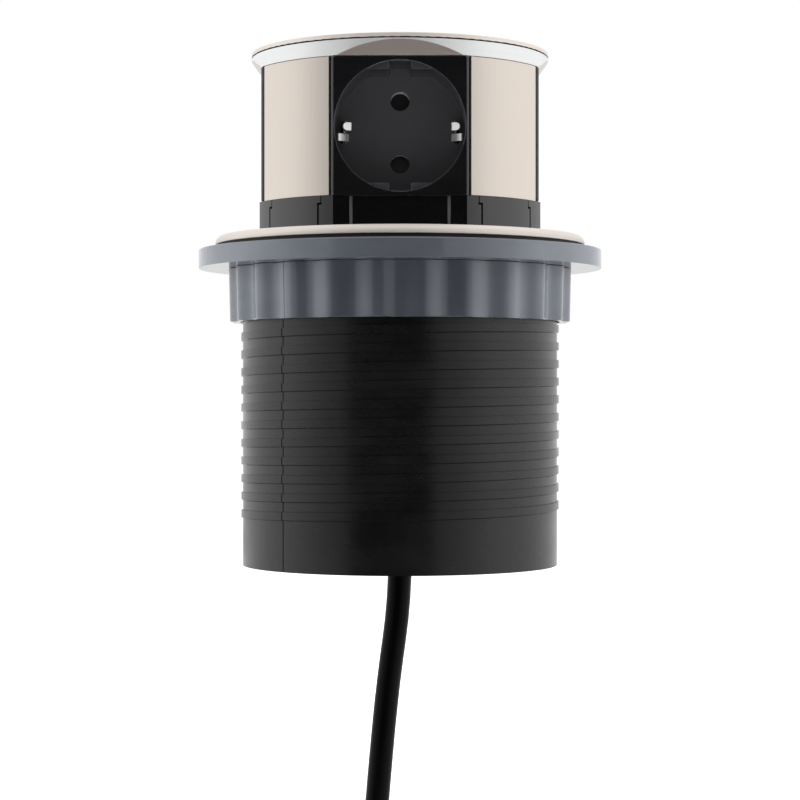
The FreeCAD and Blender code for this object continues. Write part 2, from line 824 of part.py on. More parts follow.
def turret_screws():
    screws = []
    for quarter in QUARTERS:
        head = cylinder(
            f"turret_head_{quarter}", "screw_head", f"{WEB_LOW} - 2", WEB_LOW, "screw_circle"
        )
        shank = cylinder(
            f"turret_shank_{quarter}",
            "screw_radius",
            f"{WEB_LOW} - 1",
            f"{WEB_LOW} + screw_length",
            "screw_circle",
        )
        screw = join(f"turret_screw_{quarter}", [head, shank])
        screws.append(turned(f"turret_screw_turned_{quarter}", screw, 45 + 90 * quarter))
    return group("turret_screws", screws)


def cap_skirt():
    """The plated ring under the top plate, cut to a slanted facet above each socket."""
    body = new_body("cap_skirt")
    disc = circle(new_sketch(body, "disc_outline", "XY_Plane", SOCKET_TOP), "cap_radius")
    feature(body, "Pad", "disc", disc, "skirt_height")
    run = "(cap_radius - face_offset)"
    facet = polygon(
        new_sketch(body, "facet_outline", "YZ_Plane"),
        [
            ("-face_offset", SOCKET_TOP),
            ("-face_offset", f"{SOCKET_TOP} - facet_height"),
            (f"-face_offset - 2 * {run}", f"{SOCKET_TOP} - facet_height"),
            (f"-face_offset - 2 * {run}", f"{SOCKET_TOP} + 2 * facet_height"),
        ],
    )
    pocket = feature(body, "Pocket", "facet", facet, "2 * cap_radius", both_ways=True)
    around(body, "facets", pocket, "4")
    return body


def hollow_skirt():
    hollow = squared(
        "skirt_hollow",
        "cap_radius - skirt_wall",
        PLATE_BACK,
        SOCKET_TOP,
        f"{SKIRT_TOP} - skirt_ceiling",
    )
    outside = cap_skirt()
    outside.Label = "skirt_outside"
    return cut("cap_skirt_ring", outside, [hollow])


def cap_plate():
    body = new_body("cap_plate")
    plate_low = f"{SKIRT_TOP} + shadow_gap"
    revolved(
        body,
        "plate",
        [
            ("0", SKIRT_TOP),
            ("cap_radius - groove_inset", SKIRT_TOP),
            ("cap_radius - groove_inset", plate_low),
            ("cap_radius", plate_low),
            ("cap_radius", f"{plate_low} + plate_thick"),
            ("0", f"{plate_low} + plate_thick"),
        ],
    )
    finish_rim(body, "Fillet", "edge_round", "plate_round")
    return body


def steel_panel(number):
    """A curved steel panel between two sockets."""
    body = new_body(f"steel_panel_{number + 1}", 45 + 90 * number)
    revolved(
        body,
        "sheet",
        [
            (PANEL_BACK, f"{COLLAR_TOP} + seam_gap"),
            ("panel_radius", f"{COLLAR_TOP} + seam_gap"),
            ("panel_radius", f"{SOCKET_TOP} - seam_gap"),
            (PANEL_BACK, f"{SOCKET_TOP} - seam_gap"),
        ],
        "panel_span",
    )
    return body


def bevel_face(body):
    """Chamfer the front edges of a socket's plate, the upright ones more than the level ones."""
    doc.recompute()
    front = min(corner.Point.y for corner in body.Tip.Shape.Vertexes)

    def in_front(edge):
        return all(same(corner.Point.y, front) for corner in edge.Vertexes)

    def upright(edge):
        return in_front(edge) and same(edge.BoundBox.XLength)

    def level(edge):
        return in_front(edge) and same(edge.BoundBox.ZLength)

    dress(body, "Chamfer", "sides", "Size", "face_chamfer", upright)
    dress(body, "Chamfer", "ends", "Size", "face_bevel", level)


def round_lugs(body):
    """Round the corner that each guide lug turns towards the keyway."""
    doc.recompute()
    middle = body.Tip.Shape.BoundBox.Center.z

    def on_corner(edge):
        box = edge.BoundBox
        return (
            same(box.XLength)
            and same(box.ZLength)
            and same(abs(box.XMin), SIZES["lug_gap"])
            and same(abs(box.ZMin - middle), SIZES["lug_level"])
        )

    dress(body, "Fillet", "lug_corners", "Radius", "lug_round", on_corner)


def socket_face(number):
    """Face plate and recess cup in one moulding, with guide lugs above and below."""
    body = new_body(f"socket_face_{number + 1}", 90 * number)
    plate = rectangle(
        new_sketch(body, "plate_outline", "XZ_Plane", PLATE_BACK),
        "-face_half_width",
        "face_half_width",
        f"{COLLAR_TOP} + seam_gap",
        f"{SOCKET_TOP} - seam_gap",
    )
    feature(body, "Pad", "plate", plate, "face_plate")
    bevel_face(body)
    cup = circle(
        new_sketch(body, "cup_outline", "XZ_Plane", CUP_BACK), CUP_RADIUS, "0", SOCKET_MIDDLE
    )
    feature(body, "Pad", "cup", cup, f"{PLATE_BACK} - {CUP_BACK}")
    rim = circle(
        new_sketch(body, "rim_outline", "XZ_Plane", "face_offset"), "recess_radius", "0", SOCKET_MIDDLE
    )
    feature(body, "Pocket", "rim", rim, "rim_depth")
    recess = clipped_circle(
        new_sketch(body, "recess_outline", "XZ_Plane", "face_offset"),
        "recess_radius",
        "lug_level",
        SOCKET_MIDDLE,
    )
    feature(body, "Pocket", "recess", recess, "recess_depth")
    keyway_reach = "sqrt(recess_radius ^ 2 - lug_gap ^ 2)"
    keyway = rectangle(
        new_sketch(body, "keyway_outline", "XZ_Plane", "face_offset"),
        "-lug_gap",
        "lug_gap",
        f"{SOCKET_MIDDLE} - {keyway_reach}",
        f"{SOCKET_MIDDLE} + {keyway_reach}",
    )
    feature(body, "Pocket", "keyway", keyway, "recess_depth")
    round_lugs(body)
    holes = new_sketch(body, "pin_outline", "XZ_Plane", "face_offset")
    for sign in ("+", "-"):
        circle(holes, "pin_hole_radius", "0", f"{SOCKET_MIDDLE} {sign} pin_spacing / 2")
    feature(body, "Pocket", "pin_holes", holes, "recess_depth + cup_floor")
    slots = new_sketch(body, "clip_outline", "XZ_Plane", "face_offset")
    half_slot = "(clip_width / 2 + inner_play)"
    outer = "(clip_reach + clip_slot / 2)"
    inner = "(clip_reach - clip_slot / 2)"
    for left, right in ((f"-{outer}", f"-{inner}"), (inner, outer)):
        rectangle(slots, left, right, f"{SOCKET_MIDDLE} - {half_slot}", f"{SOCKET_MIDDLE} + {half_slot}")
    feature(body, "Pocket", "clip_slots", slots, "recess_depth + cup_floor")
    pivot = circle(
        new_sketch(body, "pivot_outline", "XZ_Plane", SHUTTER_BACK), "pivot_radius", "0", SOCKET_MIDDLE
    )
    feature(body, "Pad", "pivot", pivot, f"{CUP_BACK} - {SHUTTER_BACK}")
    return body


def earth_clip(number):
    """A bent strip whose two arms bow into the recess and are slit into two tines each."""
    body = new_body(f"earth_clip_{number + 1}", 90 * number)
    strip = new_sketch(body, "strip_outline", "XY_Plane", f"{SOCKET_MIDDLE} - clip_width / 2")
    arm_front = "(-face_offset + recess_depth)"
    bow_depth = "(-face_offset + recess_depth * 0.62)"
    neck_depth = "(-face_offset + recess_depth * 0.9)"
    tip_depth = "(-face_offset + recess_depth * 0.26)"
    tip_reach = "(recess_radius - 2 * clip_thick)"
    right_outside = [
        ("clip_reach", f"-{CLIP_BACK}"),
        ("clip_reach", neck_depth),
        ("clip_bow", bow_depth),
        (f"{tip_reach}", tip_depth),
    ]
    right_inside = [
        (f"{tip_reach} - clip_thick", tip_depth),
        ("clip_bow - clip_thick * 1.15", bow_depth),
        ("clip_reach - clip_thick", neck_depth),
        ("clip_reach - clip_thick", f"-{CLIP_FRONT}"),
    ]
    left_inside = [(f"-({across})", along) for across, along in reversed(right_inside)]
    left_outside = [(f"-({across})", along) for across, along in reversed(right_outside)]
    polygon(strip, right_outside + right_inside + left_inside + left_outside)
    feature(body, "Pad", "strip", strip, "clip_width")
    slits = rectangle(
        new_sketch(body, "slit_outline", "YZ_Plane"),
        "-face_offset",
        arm_front,
        f"{SOCKET_MIDDLE} - clip_slit / 2",
        f"{SOCKET_MIDDLE} + clip_slit / 2",
    )
    feature(body, "Pocket", "slits", slits, "2 * recess_radius", both_ways=True)
    return body


def contact_pair(number):
    """The line and neutral sleeves behind one socket, each slit so that it springs."""
    sleeves = []
    for name, sign in (("line", "+"), ("neutral", "-")):
        level = f"({SOCKET_MIDDLE} {sign} pin_spacing / 2)"
        key = f"{name}_{number}"
        back = f"({SLEEVE_FRONT} - sleeve_length)"
        tube = spoke(f"{key}_tube", "sleeve_radius", back, SLEEVE_FRONT, level)
        bore = spoke(f"{key}_bore", "sleeve_bore", back, SLEEVE_FRONT, level)
        slit = block(
            f"{key}_slit",
            "-sleeve_radius",
            "sleeve_radius",
            f"-{SLEEVE_FRONT}",
            f"-{SLEEVE_FRONT} + sleeve_length / 2",
            f"{level} - clip_thick / 2",
            f"{level} + clip_thick / 2",
        )
        sleeves.append(cut(f"{key}_sleeve", tube, [bore, slit]))
    made = group(f"contact_pair_{number + 1}", sleeves)
    made.Placement = turn(90 * number)
    return made


def bus_plate(label, low):
    """A ring of copper that joins the four sleeves of one pole."""
    plate = cylinder(f"{label}_disc", "bus_radius", low, f"{low} + bus_thick")
    hole = cylinder(f"{label}_hole", "bus_hole", low, f"{low} + bus_thick")
    return cut(label, plate, [hole])


EARTH_LOW = f"({SOCKET_MIDDLE} + clip_width / 2)"
LINE_LOW = f"({SOCKET_MIDDLE} + pin_spacing / 2 + sleeve_radius)"
NEUTRAL_LOW = f"({SOCKET_MIDDLE} - pin_spacing / 2 - sleeve_radius - bus_thick)"


def earth_bus():
    """A square frame on the edges of the four earth clips."""
    outer = f"{CLIP_FRONT}"
    inner = f"({CLIP_BACK} - 2 * clip_width)"
    top = f"{EARTH_LOW} + bus_thick"
    plate = block("earth_plate", f"-{outer}", outer, f"-{outer}", outer, EARTH_LOW, top)
    hole = block("earth_hole", f"-{inner}", inner, f"-{inner}", inner, EARTH_LOW, top)
    return cut("earth_bus", plate, [hole])


def contact_carrier():
    """The insulating block that holds sleeves and bus plates, standing on the turret's floor."""
    half = f"({CLIP_BACK} - 2 * inner_play)"
    top = f"{LINE_LOW} + bus_thick + panel_wall"
    solid = block("carrier_block", f"-{half}", half, f"-{half}", half, CORE_FOOT, top)
    play = "inner_play"
    tools = []
    for name, low in (("line", LINE_LOW), ("neutral", NEUTRAL_LOW)):
        high = f"{low} + bus_thick + {play}"
        tools.append(
            cylinder(f"carrier_{name}_slot", f"bus_radius + {play}", f"{low} - {play}", high)
        )
    inner = f"({CLIP_BACK} - 2 * clip_width - {play})"
    low = f"{EARTH_LOW} - {play}"
    high = f"{EARTH_LOW} + bus_thick + {play}"
    frame = block("carrier_frame", "-core_recess", "core_recess", "-core_recess", "core_recess", low, high)
    keep = block("carrier_keep", f"-{inner}", inner, f"-{inner}", inner, low, high)
    tools.append(cut("carrier_earth_slot", frame, [keep]))
    for quarter in QUARTERS:
        for name, sign in (("line", "+"), ("neutral", "-")):
            level = f"({SOCKET_MIDDLE} {sign} pin_spacing / 2)"
            bore = spoke(f"carrier_{name}_{quarter}", f"sleeve_radius + {play}", "0", "core_recess", level)
            tools.append(turned(f"carrier_{name}_turned_{quarter}", bore, 90 * quarter))
    return cut("contact_carrier", solid, tools)


def shutter(number):
    """A two-winged disc that covers both pin holes until a plug turns it aside."""
    body = new_body(f"shutter_{number + 1}", 90 * number)
    hub = circle(
        new_sketch(body, "hub_outline", "XZ_Plane", SHUTTER_BACK),
        "pivot_radius + shutter_play + panel_wall",
        "0",
        SOCKET_MIDDLE,
    )
    feature(body, "Pad", "hub", hub, "shutter_thick")
    wings = rectangle(
        new_sketch(body, "wing_outline", "XZ_Plane", SHUTTER_BACK),
        "-shutter_wing",
        "shutter_wing",
        f"{SOCKET_MIDDLE} - shutter_reach",
        f"{SOCKET_MIDDLE} + shutter_reach",
    )
    feature(body, "Pad", "wings", wings, "shutter_thick")
    hole = circle(
        new_sketch(body, "hole_outline", "XZ_Plane", SHUTTER_FRONT),
        "pivot_radius + shutter_play",
        "0",
        SOCKET_MIDDLE,
    )
    feature(body, "Pocket", "hole", hole, "shutter_thick")
    return body


# Cord


def arc_between(start, heading, end):
    """The arc that leaves start along heading and reaches end, and the heading there."""
    chord = end - start
    side = chord - heading * chord.dot(heading)
    if side.Length < 1e-6:
        return Part.LineSegment(start, end).toShape(), heading
    side.normalize()
    radius = chord.dot(chord) / (2 * chord.dot(side))
    centre = start + side * radius
    middle = (start - centre) + (end - centre)
    middle.normalize()
    edge = Part.Arc(start, centre + middle * radius, end).toShape()
    along = chord / chord.Length
    leaving = along * (2 * heading.dot(along)) - heading
    return edge, leaving / leaving.Length


def biarc(start, heading, end, last_heading):
    """Two arcs that join a point and heading to another point and heading."""
    chord = end - start
    both = heading + last_heading
    square = 2 * (1 - heading.dot(last_heading))
    linear = 2 * chord.dot(both)
    if square < 1e-9:
        reach = chord.dot(chord) / (4 * chord.dot(last_heading))
    else:
        reach = (-linear + math.sqrt(linear * linear + 4 * square * chord.dot(chord))) / (2 * square)
    joint = (start + heading * reach + end - last_heading * reach) / 2
    first, at_joint = arc_between(start, heading, joint)
    second, _ = arc_between(joint, at_joint, end)
    return [first, second]


def route_edges(points):
    """Straight runs through points, joined by arcs as large as the runs allow."""
    edges = []
    radii = []
    here = points[0]
    for before, corner, after in zip(points, points[1:], points[2:]):
        arriving = (corner - before).normalize()
        leaving = (after - corner).normalize()
        shorter = min((corner - before).Length, (after - corner).Length)
        reach = 0.45 * shorter
        start = corner - arriving * reach
        end = corner + leaving * reach
        turn_angle = arriving.getAngle(leaving)
        radii.append(reach / math.tan(turn_angle / 2))
        edges.append(Part.LineSegment(here, start).toShape())
        edge, _ = arc_between(start, arriving, end)
        edges.append(edge)
        here = end
    edges.append(Part.LineSegment(here, points[-1]).toShape())
    return edges, radii


def tube(label, edges, diameter):
    """A round solid along a path, checked against its section times its length."""
    path = Part.Wire(edges)
    start = edges[0].Vertexes[0].Point
    heading = edges[0].tangentAt(edges[0].FirstParameter)
    section = Part.Wire(Part.makeCircle(diameter / 2, start, heading))
    solid = path.makePipeShell([section], True, False)
    expected = math.pi * diameter**2 / 4 * path.Length
    if abs(solid.Volume / expected - 1) > 0.01:
        raise ValueError(f"{label}: volume {solid.Volume:.0f} for {expected:.0f}")
    made = doc.addObject("Part::Feature", label)
    made.Shape = solid
    print(f"{label}: length {path.Length:.1f} mm")
    return made


def coil_place(share, centre, first_angle, turns, low):
    """Where the coil's centre line is after a share of its turns.

    It spirals in on the lower layer, climbs through the middle half turn and spirals out.
    """
    pitch = SIZES["cord_diameter"] + SIZES["coil_gap"]
    done = share * turns
    layer_turns = (turns - 0.5) / 2
    inner = SIZES["coil_radius"] - layer_turns * pitch
    if done <= layer_turns:
        radius = SIZES["coil_radius"] - done * pitch
        rise = 0.0
    elif done >= layer_turns + 0.5:
        radius = inner + (done - layer_turns - 0.5) * pitch
        rise = 1.0
    else:
        climbed = (done - layer_turns) / 0.5
        radius = inner - SIZES["coil_dip"] * math.sin(math.pi * climbed) ** 2
        rise = climbed - math.sin(2 * math.pi * climbed) / (2 * math.pi)
    angle = first_angle - 2 * math.pi * done
    return centre + Vector(radius * math.cos(angle), radius * math.sin(angle), low + rise * pitch)


def places_and_headings(place_at, steps):
    """Evenly spread places on a centre line and the headings there, from its formula."""
    small = 1e-4
    places = [place_at(i / steps) for i in range(steps + 1)]
    headings = []
    for i in range(steps + 1):
        before = place_at(max(i / steps - small, 0))
        after = place_at(min(i / steps + small, 1))
        headings.append((after - before).normalize())
    return places, headings


def biarcs(places, headings):
    """The arcs that run through all the places with their headings."""
    edges = []
    for i in range(len(places) - 1):
        edges += biarc(places[i], headings[i], places[i + 1], headings[i + 1])
    return edges


def least_gap(edges, diameter):
    """The least gap between stretches of a tube that lie over a quarter turn apart."""
    points = []
    along = []
    done = 0.0
    for edge in edges:
        for point in edge.discretize(5)[:-1]:
            points.append(point)
            along.append(done)
            done += edge.Length / 4
    apart = SIZES["coil_radius"]
    return min(
        (points[i] - points[j]).Length
        for i in range(len(points))
        for j in range(i)
        if along[i] - along[j] > 2 * apart
    ) - diameter


def cord_route(start_level):
    """The cord's free stretch from the gland down to the coil."""
    radius = SIZES["cord_diameter"] / 2
    rest = -SIZES["rest_level"] + radius
    return [
        Vector(0, 0, start_level),
        Vector(0, 0, start_level - 14),
        Vector(-3.7, 0, -135),
        Vector(-6.2, 0.3, -161),
        Vector(-8.4, 2.6, rest + 33),
        Vector(-11.8, 15.4, rest + 11.8),
        Vector(-17.5, 36.6, rest),
        Vector(-23.8, 60.2, rest),
    ]


def tail_route(coil_end, heading):
    """The cord's last stretch, off the coil's upper layer and up into the lying plug."""
    tilt = math.radians(SIZES["plug_tilt"])
    floor = -SIZES["rest_level"]
    rest = floor + SIZES["cord_diameter"] / 2
    lever = SIZES["plug_sleeve"] + SIZES["plug_grip"]
    entry_level = floor + SIZES["plug_radius"] * math.cos(tilt) - lever * math.sin(tilt)
    entry = Vector(9, -26, entry_level)
    into_plug = Vector(-math.cos(tilt), 0, math.sin(tilt))
    return [
        coil_end,
        coil_end + heading * 27,
        Vector(68.8, 14.1, rest + 4),
        Vector(61, -4.3, rest + 1.4),
        Vector(46.9, -18.4, rest + 1),
        entry - into_plug * 19.7,
        entry,
    ]


def cord_pieces():
    """Free stretch, coil and tail, which meet face to face, and the plug's place."""
    diameter = SIZES["cord_diameter"]
    points = cord_route(base_top_level())
    edges, radii = route_edges(points)
    lead = tube("cord_lead", edges, diameter)
    print("cord_lead radii:", [round(radius, 1) for radius in radii])

    heading = (points[-1] - points[-2]).normalize()
    inward = Vector(heading.y, -heading.x, 0)
    straight = heading * diameter
    coil_start = points[-1] + straight
    centre = Vector(coil_start.x, coil_start.y, 0) + inward * SIZES["coil_radius"]
    first_angle = math.atan2(-inward.y, -inward.x) % (2 * math.pi)
    turns = SIZES["coil_turns"] + first_angle / (2 * math.pi)
    places, headings = places_and_headings(
        lambda share: coil_place(share, centre, first_angle, turns, points[-1].z), round(turns * 4)
    )
    wound = biarcs(places, headings)
    coil_end = places[-1] + headings[-1] * diameter
    coil = tube(
        "cord_coil",
        [Part.LineSegment(points[-1], coil_start).toShape()]
        + wound
        + [Part.LineSegment(places[-1], coil_end).toShape()],
        diameter,
    )
    print(f"cord_coil: least gap to itself {least_gap(wound, diameter):.2f} mm")

    tail_points = tail_route(coil_end, headings[-1])
    tail_edges, tail_radii = route_edges(tail_points)
    tail = tube("cord_tail", tail_edges, diameter)
    print("cord_tail radii:", [round(radius, 1) for radius in tail_radii])
    return [lead, coil, tail], tail_points[-1]


def base_top_level():
    """The base cover's inner face, where the mains cord and the inner lead meet."""
    return -SIZES["barrel_depth"] + SIZES["base_inset"] + SIZES["base_thick"]


def core_foot_level():
    """The upper face of the turret's floor, where the inner lead ends."""
    return SIZES["gasket_height"] + SIZES["bezel_height"] + SIZES["collar_show"] - SIZES["core_foot"]


def lead_place(share, low, high):
    """Where the inner lead's centre line is: out from the axis to its loop and back again."""
    swing = min(2 * share, 2 - 2 * share)
    radius = SIZES["lead_radius"] * swing * swing * (3 - 2 * swing)
    angle = 2 * math.pi * SIZES["lead_turns"] * share
    return Vector(radius * math.cos(angle), radius * math.sin(angle), low + share * (high - low))


def inner_lead():
    """The lead inside the barrel, looped so that the turret can rise and sink."""
    low = base_top_level()
    high = core_foot_level()
    straight = SIZES["gland_rim"] + SIZES["clamp_height"]
    steps = round(SIZES["lead_turns"] * 8)
    ends = (low + straight, high - straight)
    places, headings = places_and_headings(lambda share: lead_place(share, *ends), steps)
    edges = [Part.LineSegment(Vector(0, 0, low), places[0]).toShape()]
    edges += biarcs(places, headings)
    edges.append(Part.LineSegment(places[-1], Vector(0, 0, high)).toShape())
    radii = [edge.Curve.Radius for edge in edges if isinstance(edge.Curve, Part.Circle)]
    print(f"inner_lead: least radius {min(radii):.1f} mm")
    return tube("inner_lead", edges, SIZES["cord_diameter"])


def plug_pieces(entry):
    """A straight plug that lies on its side, its pins towards -X."""
    body = doc.addObject("PartDesign::Body", "plug_body")
    face = "(plug_sleeve + plug_grip + plug_disc)"
    revolved(
        body,
        "moulding",
        [
            ("0", "0"),
            ("plug_tip_radius", "0"),
            ("plug_sleeve_radius", "plug_sleeve"),
            ("plug_grip_radius", "plug_sleeve"),
            ("plug_radius - 2", "plug_sleeve + plug_grip"),
            ("plug_radius", "plug_sleeve + plug_grip"),
            ("plug_radius", face),
            ("0", face),
        ],
    )
    strips = new_sketch(body, "strip_outline", "XY_Plane", face)
    for left, right in (
        ("-plug_radius", "-plug_radius + plug_strip_inset"),
        ("plug_radius - plug_strip_inset", "plug_radius"),
    ):
        rectangle(strips, left, right, "-plug_strip_width / 2", "plug_strip_width / 2")
    feature(body, "Pocket", "strip_grooves", strips, "plug_disc")
    lying = FreeCAD.Placement(entry, FreeCAD.Rotation(Vector(0, 1, 0), SIZES["plug_tilt"] - 90))
    body.Placement = lying

    pins = []
    for sign in ("", "-"):
        name = "upper" if sign == "" else "lower"
        pin = cylinder(
            f"plug_pin_{name}",
            "plug_pin_radius",
            face,
            f"{face} + plug_pin_length",
            "0",
            f"{sign}pin_spacing / 2",
        )
        pins.append(pin)
    pin_node = group("plug_pins", pins)
    pin_node.Placement = lying

    strip_items = []
    for name, left, right in (
        ("left", "-plug_radius + clip_thick", "-plug_radius + plug_strip_inset"),
        ("right", "plug_radius - plug_strip_inset", "plug_radius - clip_thick"),
    ):
        strip_items.append(
            block(
                f"plug_strip_{name}",
                left,
                right,
                "-plug_strip_width / 2",
                "plug_strip_width / 2",
                "plug_sleeve + plug_grip + clip_thick",
                face,
            )
        )
    strip_node = group("plug_earth_strips", strip_items)
    strip_node.Placement = lying
    return [body, pin_node, strip_node]


def build():
    """Make every piece and return them by the names of their files."""
    pieces = {
        "housing_barrel": housing_barrel(),
        "housing_base": housing_base(),
        "base_screws": base_screws(),
        "cord_gland": cord_gland(),
        "cord_clamp": split_clamp("cord_clamp", f"({BASE_TOP} + gland_rim)", "cord_play"),
        "bezel_ring": bezel_ring(),
        "seal_gasket": seal_gasket(),
        "pressure_flange": pressure_flange(),
        "ring_nut": ring_nut(),
        "turret_core": turret_core(),
        "turret_collar": turret_collar(),
        "turret_floor": turret_floor(),
        "turret_screws": turret_screws(),
        "lead_clamp": split_clamp("lead_clamp", f"({FLOOR_LOW} - clamp_height)", "lead_play"),
        "cap_skirt": hollow_skirt(),
        "cap_plate": cap_plate(),
        "line_bus": bus_plate("line_bus", LINE_LOW),
        "neutral_bus": bus_plate("neutral_bus", NEUTRAL_LOW),
        "earth_bus": earth_bus(),
        "contact_carrier": contact_carrier(),
        "inner_lead": inner_lead(),
    }
    for number in QUARTERS:
        pieces[f"steel_panel_{number + 1}"] = steel_panel(number)
        pieces[f"socket_face_{number + 1}"] = socket_face(number)
        pieces[f"earth_clip_{number + 1}"] = earth_clip(number)
        pieces[f"contact_pair_{number + 1}"] = contact_pair(number)
        pieces[f"shutter_{number + 1}"] = shutter(number)
    cords, plug_entry = cord_pieces()
    for piece in cords + plug_pieces(plug_entry):
        pieces[piece.Name] = piece
    return pieces


def check_and_write(pieces):
    """Stop at the first object that failed, then write each piece to its own file."""
    for item in doc.Objects:
        if "Invalid" in item.State or "Error" in item.State:
            raise RuntimeError(f"{item.Name} failed: {item.State}")
        if item.TypeId == "PartDesign::Pocket":
            removed = item.BaseFeature.Shape.Volume - item.Shape.Volume
            if removed <= 0 or same(removed):
                raise RuntimeError(f"{item.Name} cuts nothing")
    for name, piece in pieces.items():
        shape = piece.Shape
        if shape.isNull() or not shape.isValid() or not shape.Solids:
            raise RuntimeError(f"{name} has no valid solid")
    for name, piece in pieces.items():
        piece.Label = name
        piece.Shape.exportStep(f"parts/{name}.step")
        box = piece.Shape.BoundBox
        print(
            f"{name}: {len(piece.Shape.Solids)} solid(s), {piece.Shape.Volume:.0f} mm3,"
            f" {box.XLength:.1f} x {box.YLength:.1f} x {box.ZLength:.1f} mm"
        )


made_pieces = build()
doc.recompute()
check_and_write(made_pieces)
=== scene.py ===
"""A recessed power strip: a turret of four earthed sockets that rises from a threaded barrel.

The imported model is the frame. Each sub-assembly is a class that gives its nodes their finish and
builds the pieces that need a finer shape than the frame has. Lengths are in millimetres until a
mesh is handed over.
"""

from __future__ import annotations

import logging
import math
from collections.abc import Callable, Iterable, Sequence
from dataclasses import dataclass
from enum import Enum

import bmesh
import bpy
from mathutils import Matrix, Vector

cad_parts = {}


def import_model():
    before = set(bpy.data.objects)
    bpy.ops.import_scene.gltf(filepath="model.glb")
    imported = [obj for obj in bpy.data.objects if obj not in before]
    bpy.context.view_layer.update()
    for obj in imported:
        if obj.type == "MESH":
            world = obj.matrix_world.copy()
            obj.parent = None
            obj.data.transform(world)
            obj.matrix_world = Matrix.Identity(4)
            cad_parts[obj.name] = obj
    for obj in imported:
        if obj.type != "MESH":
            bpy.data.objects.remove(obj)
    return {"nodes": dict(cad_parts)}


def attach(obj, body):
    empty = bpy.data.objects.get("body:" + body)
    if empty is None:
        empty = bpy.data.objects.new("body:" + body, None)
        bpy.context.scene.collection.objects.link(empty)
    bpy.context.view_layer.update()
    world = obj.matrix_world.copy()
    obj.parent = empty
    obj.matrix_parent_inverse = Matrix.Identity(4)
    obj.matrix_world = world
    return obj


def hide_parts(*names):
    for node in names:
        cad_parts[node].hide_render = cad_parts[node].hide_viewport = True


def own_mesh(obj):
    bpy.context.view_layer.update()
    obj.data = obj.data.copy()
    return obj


LOG = logging.getLogger("power_strip")
NODES: dict[str, bpy.types.Object] = {}
MM = 0.001
UP = Vector((0.0, 0.0, 1.0))
FRONT = Vector((0.0, -1.0, 0.0))
CENTRE = (0.0, 0.0, 0.0)
FACES = (1, 2, 3, 4)
FULL_TURN = 2 * math.pi
Profile = Sequence[tuple[float, float]]
Colour = tuple[float, float, float, float]


def linear(red: int, green: int, blue: int) -> Colour:
    """Turn a colour as a screen shows it into the shader's linear colour.

    Args:
        red: Red, 0 to 255.
        green: Green, 0 to 255.
        blue: Blue, 0 to 255.

    Returns:
        The linear colour with full opacity.
    """
    shown = [channel / 255 for channel in (red, green, blue)]
    levels = [v / 12.92 if v < 0.04045 else ((v + 0.055) / 1.055) ** 2.4 for v in shown]
    return (levels[0], levels[1], levels[2], 1.0)


def darker(colour: Sequence[float], share: float) -> Colour:
    """A colour times a share, with full opacity."""
    return (colour[0] * share, colour[1] * share, colour[2] * share, 1.0)


# Finishes

WHITE = (1.0, 1.0, 1.0, 1.0)
# How far out the floors and mouths of the sockets' recesses lie, in metres
RECESS_FLOOR = 0.0238
RECESS_MOUTH = 0.0421


class Nodes:
    """A node tree, with short ways to add nodes and join them."""

    def __init__(self, tree: bpy.types.NodeTree) -> None:
        """Work on a material's or the world's tree."""
        self.tree = tree

    def node(self, kind: str, inputs: dict[str | int, object], **settings: object) -> bpy.types.Node:
        """Add a node.

        Args:
            kind: The node's type name.
            inputs: Values or other nodes' sockets, by the input's name or number.
            settings: The node's own properties.

        Returns:
            The new node.
        """
        made = self.tree.nodes.new(kind)
        for name, setting in settings.items():
            setattr(made, name, setting)
        for key, wanted in inputs.items():
            if isinstance(wanted, bpy.types.NodeSocket):
                self.tree.links.new(wanted, made.inputs[key])
            else:
                made.inputs[key].default_value = wanted
        return made

    def sum(self, operation: str, *terms: object) -> bpy.types.NodeSocket:
        """Work out one number from others with a Math node."""
        return self.node("ShaderNodeMath", dict(enumerate(terms)), operation=operation).outputs[0]

    def parts(self, vector: bpy.types.NodeSocket) -> bpy.types.bpy_prop_collection:
        """The X, Y and Z of a vector."""
        return self.node("ShaderNodeSeparateXYZ", {0: vector}).outputs

    def length(self, vector: bpy.types.NodeSocket) -> bpy.types.NodeSocket:
        """The length of a vector."""
        return self.node("ShaderNodeVectorMath", {0: vector}, operation="LENGTH").outputs["Value"]

    def noise(self, vector: bpy.types.NodeSocket, detail: float) -> bpy.types.NodeSocket:
        """Noise of about 0.3 to 0.7 at a vector, with as many finer layers as detail says."""
        return self.node("ShaderNodeTexNoise", {"Vector": vector, "Scale": 1.0, "Detail": detail}).outputs[0]

    def ramp(
        self, source: object, start: float, end: float, low: object, high: object, kind: str = "SMOOTHSTEP"
    ) -> bpy.types.NodeSocket:
        """Map a stretch of a number to a range.

        Args:
            source: The number.
            start: Where the stretch starts.
            end: Where it ends.
            low: The result at the start and before it.
            high: The result at the end and past it.
            kind: How the result runs between them.

        Returns:
            The result's socket.
        """
        ranges = {"Value": source, "From Min": start, "From Max": end, "To Min": low, "To Max": high}
        return self.node("ShaderNodeMapRange", ranges, interpolation_type=kind).outputs[0]


